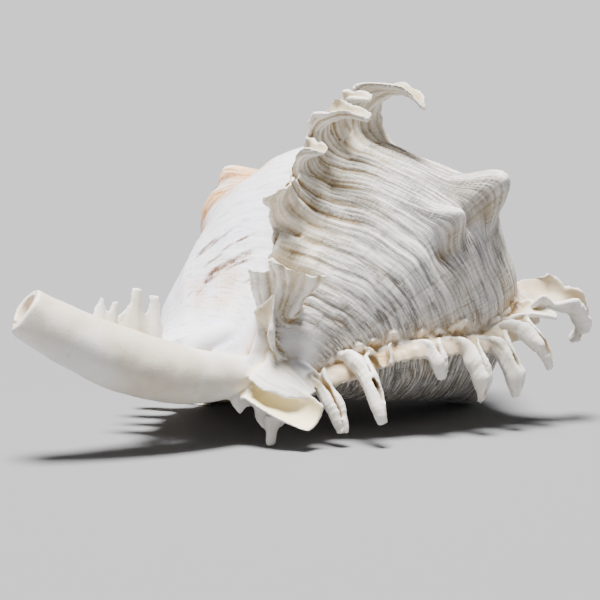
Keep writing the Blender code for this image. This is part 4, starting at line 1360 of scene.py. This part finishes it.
def shell_material():
    s = Shader("shell_surface")
    level = s.value("level")
    along_cords = s.flow(0.05, 0.5, 0.0)
    bands = s.flow(0.3, 0.04, 3.0, detail=4.0)
    streaks = s.flow(0.12, 0.9, 7.0)
    hairs = s.flow(0.07, 1.15, 5.0, detail=2.0)
    drift = s.flow(0.05, 0.22, 9.0, roughness=0.55)
    grain = s.noise(1400.0, 3.0, 0.6)
    clouds = s.noise(45.0, 4.0, 0.6)
    fleck = s.noise(300.0, 3.0, 0.65)
    patches = s.noise(28.0, 3.0, 0.55)
    specks = s.noise(160.0, 3.0, 0.6)
    rings = s.noise(1.0, 3.0, 0.6, s.vector(s.times(level, 0.55), s.times(clouds, 3.0), 13.0))
    late, canal, inside, spiny, plain, rib, hollow, warm = (
        s.value(name) for name in ("late", "canal", "inside", "spiny", "plain", "rib", "hollow", "warm"))
    newer = s.math("MAXIMUM", s.math("MAXIMUM", late, canal), spiny)
    older = s.times(s.math("SUBTRACT", 1.0, newer, clamp=True), s.rest(plain))
    mottle = s.math("ADD", s.times(patches, 0.5), s.times(drift, 0.5))

    # the old, worn surface, with dirt and painted shade in its grooves and hollows and below the knobs
    colour = s.mix(s.remap(clouds, 0.40, 0.66, 0.0, 0.55), WHITE, COOL)
    colour = s.layer(colour, TAN, s.remap(s.value("blotch"), 0.55, 1.0, 0.0, 0.3))
    ground = s.mix(s.remap(clouds, 0.42, 0.60), GREY, TAN)
    colour = s.layer(colour, ground, s.remap(mottle, 0.42, 0.56, 0.12, 0.9), older)
    stripes = s.times(s.remap(along_cords, 0.46, 0.62, 0.0, 0.75), older)
    colour = s.layer(colour, GREY, stripes, s.remap(clouds, 0.3, 0.6, 0.35, 1.0))
    colour = s.layer(colour, WHITE, s.remap(hairs, 0.50, 0.58, 0.0, 0.85), older)
    colour = s.layer(colour, TAN, s.remap(bands, 0.52, 0.70, 0.0, 0.45), older)
    # Tan stains, which below the knobs also paint the shade of their lower sides.
    colour = s.layer(colour, STAIN_AND_SHADE, s.value("tan_and_knob_shade"), s.remap(streaks, 0.36, 0.60, 0.35, 1.0), 0.85)
    # The grooves between the cords darken with dirt and painted shade.
    groove_dirt_and_shade = s.times(s.value("groove_dirt_and_shade"), s.remap(streaks, 0.35, 0.62, 0.35, 1.0), s.rest(s.times(plain, 0.9)))
    colour = s.layer(colour, s.mix(rib, COLD_GROOVE_DIRT_AND_SHADE, WARM_GROOVE_DIRT_AND_SHADE), groove_dirt_and_shade, 0.7)
    # Beige in the broad hollows by the ribs: dirt and painted shade.
    colour = s.layer(colour, BEIGE, s.value("dip_dirt_and_shade"), rib, s.remap(clouds, 0.3, 0.6, 0.5, 1.0), 0.75)

    # the newest turn, the spines and the canal
    colour = s.layer(colour, LATE_WHITE, late, s.remap(clouds, 0.35, 0.6, 0.3, 0.8))
    colour = s.layer(colour, TAN, late, s.remap(streaks, 0.54, 0.66, 0.0, 0.30))
    colour = s.layer(colour, SPINE_CREAM, spiny, s.remap(patches, 0.40, 0.60, 0.10, 0.55))
    colour = s.layer(colour, TAN, spiny, s.remap(specks, 0.50, 0.68, 0.0, 0.40))
    colour = s.layer(colour, CANAL_WHITE, canal, 0.6)
    colour = s.layer(colour, TAN, canal, s.remap(rings, 0.48, 0.68, 0.0, 0.35))
    colour = s.layer(colour, BEIGE, canal, s.remap(patches, 0.48, 0.64, 0.0, 0.40))

    # stains, dirt, painted shade in crevices and on the spines' inner faces, and the mouth's inside
    colour = s.layer(colour, PEACH, warm, 0.9)
    colour = s.layer(colour, RUST, warm, s.remap(streaks, 0.48, 0.58, 0.0, 0.9))
    colour = s.layer(colour, BROWN, s.value("brown"), s.remap(fleck, 0.35, 0.55, 0.55, 1.0))
    colour = s.layer(colour, PINK, s.value("pink"), s.remap(streaks, 0.38, 0.62, 0.10, 0.60))
    colour = s.layer(colour, SPINE_WHITE, s.value("crest"), 0.8)
    # Beige on the spines' inner faces is painted shade.
    colour = s.layer(colour, BEIGE, hollow, spiny, 0.55)
    colour = s.layer(colour, CREAM, hollow, canal, 0.9)
    # Crevices turn ochre and, where deepest, dark: dirt and painted shade.
    crevice_dirt_and_shade = s.times(s.value("crevice_dirt_and_shade"), s.remap(clouds, 0.35, 0.62, 0.6, 1.1))
    colour = s.layer(colour, OCHRE, s.remap(crevice_dirt_and_shade, 0.35, 1.0), s.remap(rib, 0.0, 1.0, 0.3, 0.6))
    colour = s.layer(colour, DEEP_DIRT_AND_SHADE, s.remap(crevice_dirt_and_shade, 0.85, 1.15, 0.0, 0.75))
    colour = s.layer(colour, INNER, inside, 0.9)

    deeper = s.node("ShaderNodeGamma")
    s.put(deeper.inputs["Color"], colour)
    deeper.inputs["Gamma"].default_value = TINT_DEPTH
    s.put(s.surface.inputs["Base Color"], deeper.outputs[0])
    rough = s.math("SUBTRACT", s.remap(grain, 0.3, 0.7, 0.50, 0.68), s.times(inside, 0.25))
    s.put(s.surface.inputs["Roughness"], rough)
    s.surface.inputs["Specular IOR Level"].default_value = 0.4

    fine = s.times(s.math("SINE", s.times(level, 2.0 * math.pi / FINE_SPACING)), s.times(older, 0.35))
    lines = s.times(s.flow(2.4, 0.0, 0.0, detail=2.0, roughness=0.5), 0.7)
    height = s.math("ADD", s.math("ADD", fine, lines), s.times(grain, 0.9))
    height = s.math("ADD", height, s.times(fleck, 1.2))
    bump = s.node("ShaderNodeBump")
    bump.inputs["Strength"].default_value = BUMP_STRENGTH
    bump.inputs["Distance"].default_value = BUMP_DEPTH
    s.put(bump.inputs["Height"], height)
    s.put(s.surface.inputs["Normal"], bump.outputs[0])
    return s.material


# The camera's place and view: its height angle, distance in the shell's mm, focal
# length in pixels of a 600 px frame, and the pixel that its level line of sight met.
VIEW_DROP = 9.0
VIEW_FAR = 700.0
FOCAL_PX = 2643.0
AIM_PX = (284.3, 375.3)
FRAME_PX = 600.0
SENSOR = 36.0


def set_camera():
    drop = math.radians(VIEW_DROP)
    ahead = Vector((0.0, math.cos(drop), -math.sin(drop)))
    up = Vector((0.0, math.sin(drop), math.cos(drop)))
    right = Vector((1.0, 0.0, 0.0))
    target = Vector((np.array((0.0, 0.0, REST_HEIGHT)) - MIDDLE) * MM)
    off_x = 0.5 * FRAME_PX - AIM_PX[0]
    off_y = AIM_PX[1] - 0.5 * FRAME_PX
    look = (ahead * FOCAL_PX + right * off_x + up * off_y).normalized()
    data = bpy.data.cameras.new("camera")
    data.sensor_width = SENSOR
    data.lens = SENSOR * FOCAL_PX / FRAME_PX
    data.clip_start = 0.01
    camera = add_object("camera", data)
    camera.location = target - ahead * VIEW_FAR * MM
    side = look.cross(up).normalized()
    over = side.cross(look)
    camera.matrix_world = matrix_of(side, over, -look, camera.location)
    bpy.context.scene.camera = camera


def matrix_of(x, y, z, origin):
    rows = [(x[k], y[k], z[k], origin[k]) for k in range(3)]
    return Matrix(rows + [(0.0, 0.0, 0.0, 1.0)])


FLOOR_SIZE = 80.0
FLOOR_TINT = (0.19, 0.19, 0.195, 1.0)


def set_floor():
    bpy.ops.mesh.primitive_plane_add(size=FLOOR_SIZE, location=(0.0, 0.0, 0.0))
    floor = bpy.context.object
    floor.name = "floor"
    s = Shader("floor")
    s.surface.inputs["Base Color"].default_value = FLOOR_TINT
    s.surface.inputs["Roughness"].default_value = 0.9
    floor.data.materials.append(s.material)


# The key light is a broad, steep sun, and the fill a small panel at the front left.
KEY_FROM = (-0.06, -0.12, 1.0)
KEY_POWER = 17.0
KEY_SPREAD = 22.0
FILL_AT = (-0.9, -0.9, 0.45)
FILL_TO = (0.0, 0.0, 0.04)
FILL_POWER = 1.0
FILL_SIZE = 0.8
SKY = (0.80, 0.82, 0.86, 1.0)
SKY_POWER = 0.20


def add_light(name, kind, power, colour):
    data = bpy.data.lights.new(name, kind)
    data.energy = power
    data.color = colour
    return add_object(name, data)


def set_lights():
    key = add_light("key", "SUN", KEY_POWER, (1.0, 0.99, 0.985))
    key.data.angle = math.radians(KEY_SPREAD)
    key.rotation_euler = Vector(KEY_FROM).to_track_quat("Z", "Y").to_euler()
    fill = add_light("fill", "AREA", FILL_POWER, (0.90, 0.94, 1.0))
    fill.data.size = FILL_SIZE
    fill.location = FILL_AT
    fill.rotation_euler = (Vector(FILL_TO) - Vector(FILL_AT)).to_track_quat("-Z", "Y").to_euler()
    world = bpy.data.worlds.new("studio")
    world.use_nodes = True
    background = world.node_tree.nodes["Background"]
    background.inputs["Color"].default_value = SKY
    background.inputs["Strength"].default_value = SKY_POWER
    bpy.context.scene.world = world


def grow_shell():
    grown = Growth()
    body(grown)
    canal(grown)
    fillet(grown)
    all_spines(grown)
    old_mouth(grown)
    for k, web in enumerate(COLLARS):
        collar(grown, *web, COLLAR_SEED + k)
    cut = []
    for maker in (hollow, canal_bore, canal_slit):
        hole = Growth()
        maker(hole)
        cut.append(hole)
    verts, quads = fuse(grown, cut)
    surface = Surface(verts, quads)
    surface.look_up([grown] + cut)
    surface.smooth(SMOOTH_ROUNDS)
    carve(surface)
    keep_in_box(surface)
    return surface


BOX_EASE = 1.5


def keep_in_box(surface):
    """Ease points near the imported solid's box, or past it, to just inside it."""
    low = np.array(cad_box[0]) / MM + MIDDLE
    high = np.array(cad_box[1]) / MM + MIDDLE
    below = np.maximum(low + BOX_EASE - surface.verts, 0.0)
    above = np.maximum(surface.verts - high + BOX_EASE, 0.0)
    eased = np.where(below > 0.0, low + BOX_EASE * np.exp(-below / BOX_EASE), surface.verts)
    surface.verts = np.where(above > 0.0, high - BOX_EASE * np.exp(-above / BOX_EASE), eased)


surface = grow_shell()
values = tint(surface)
show(surface, values, shell_material())
set_floor()
set_lights()
set_camera()
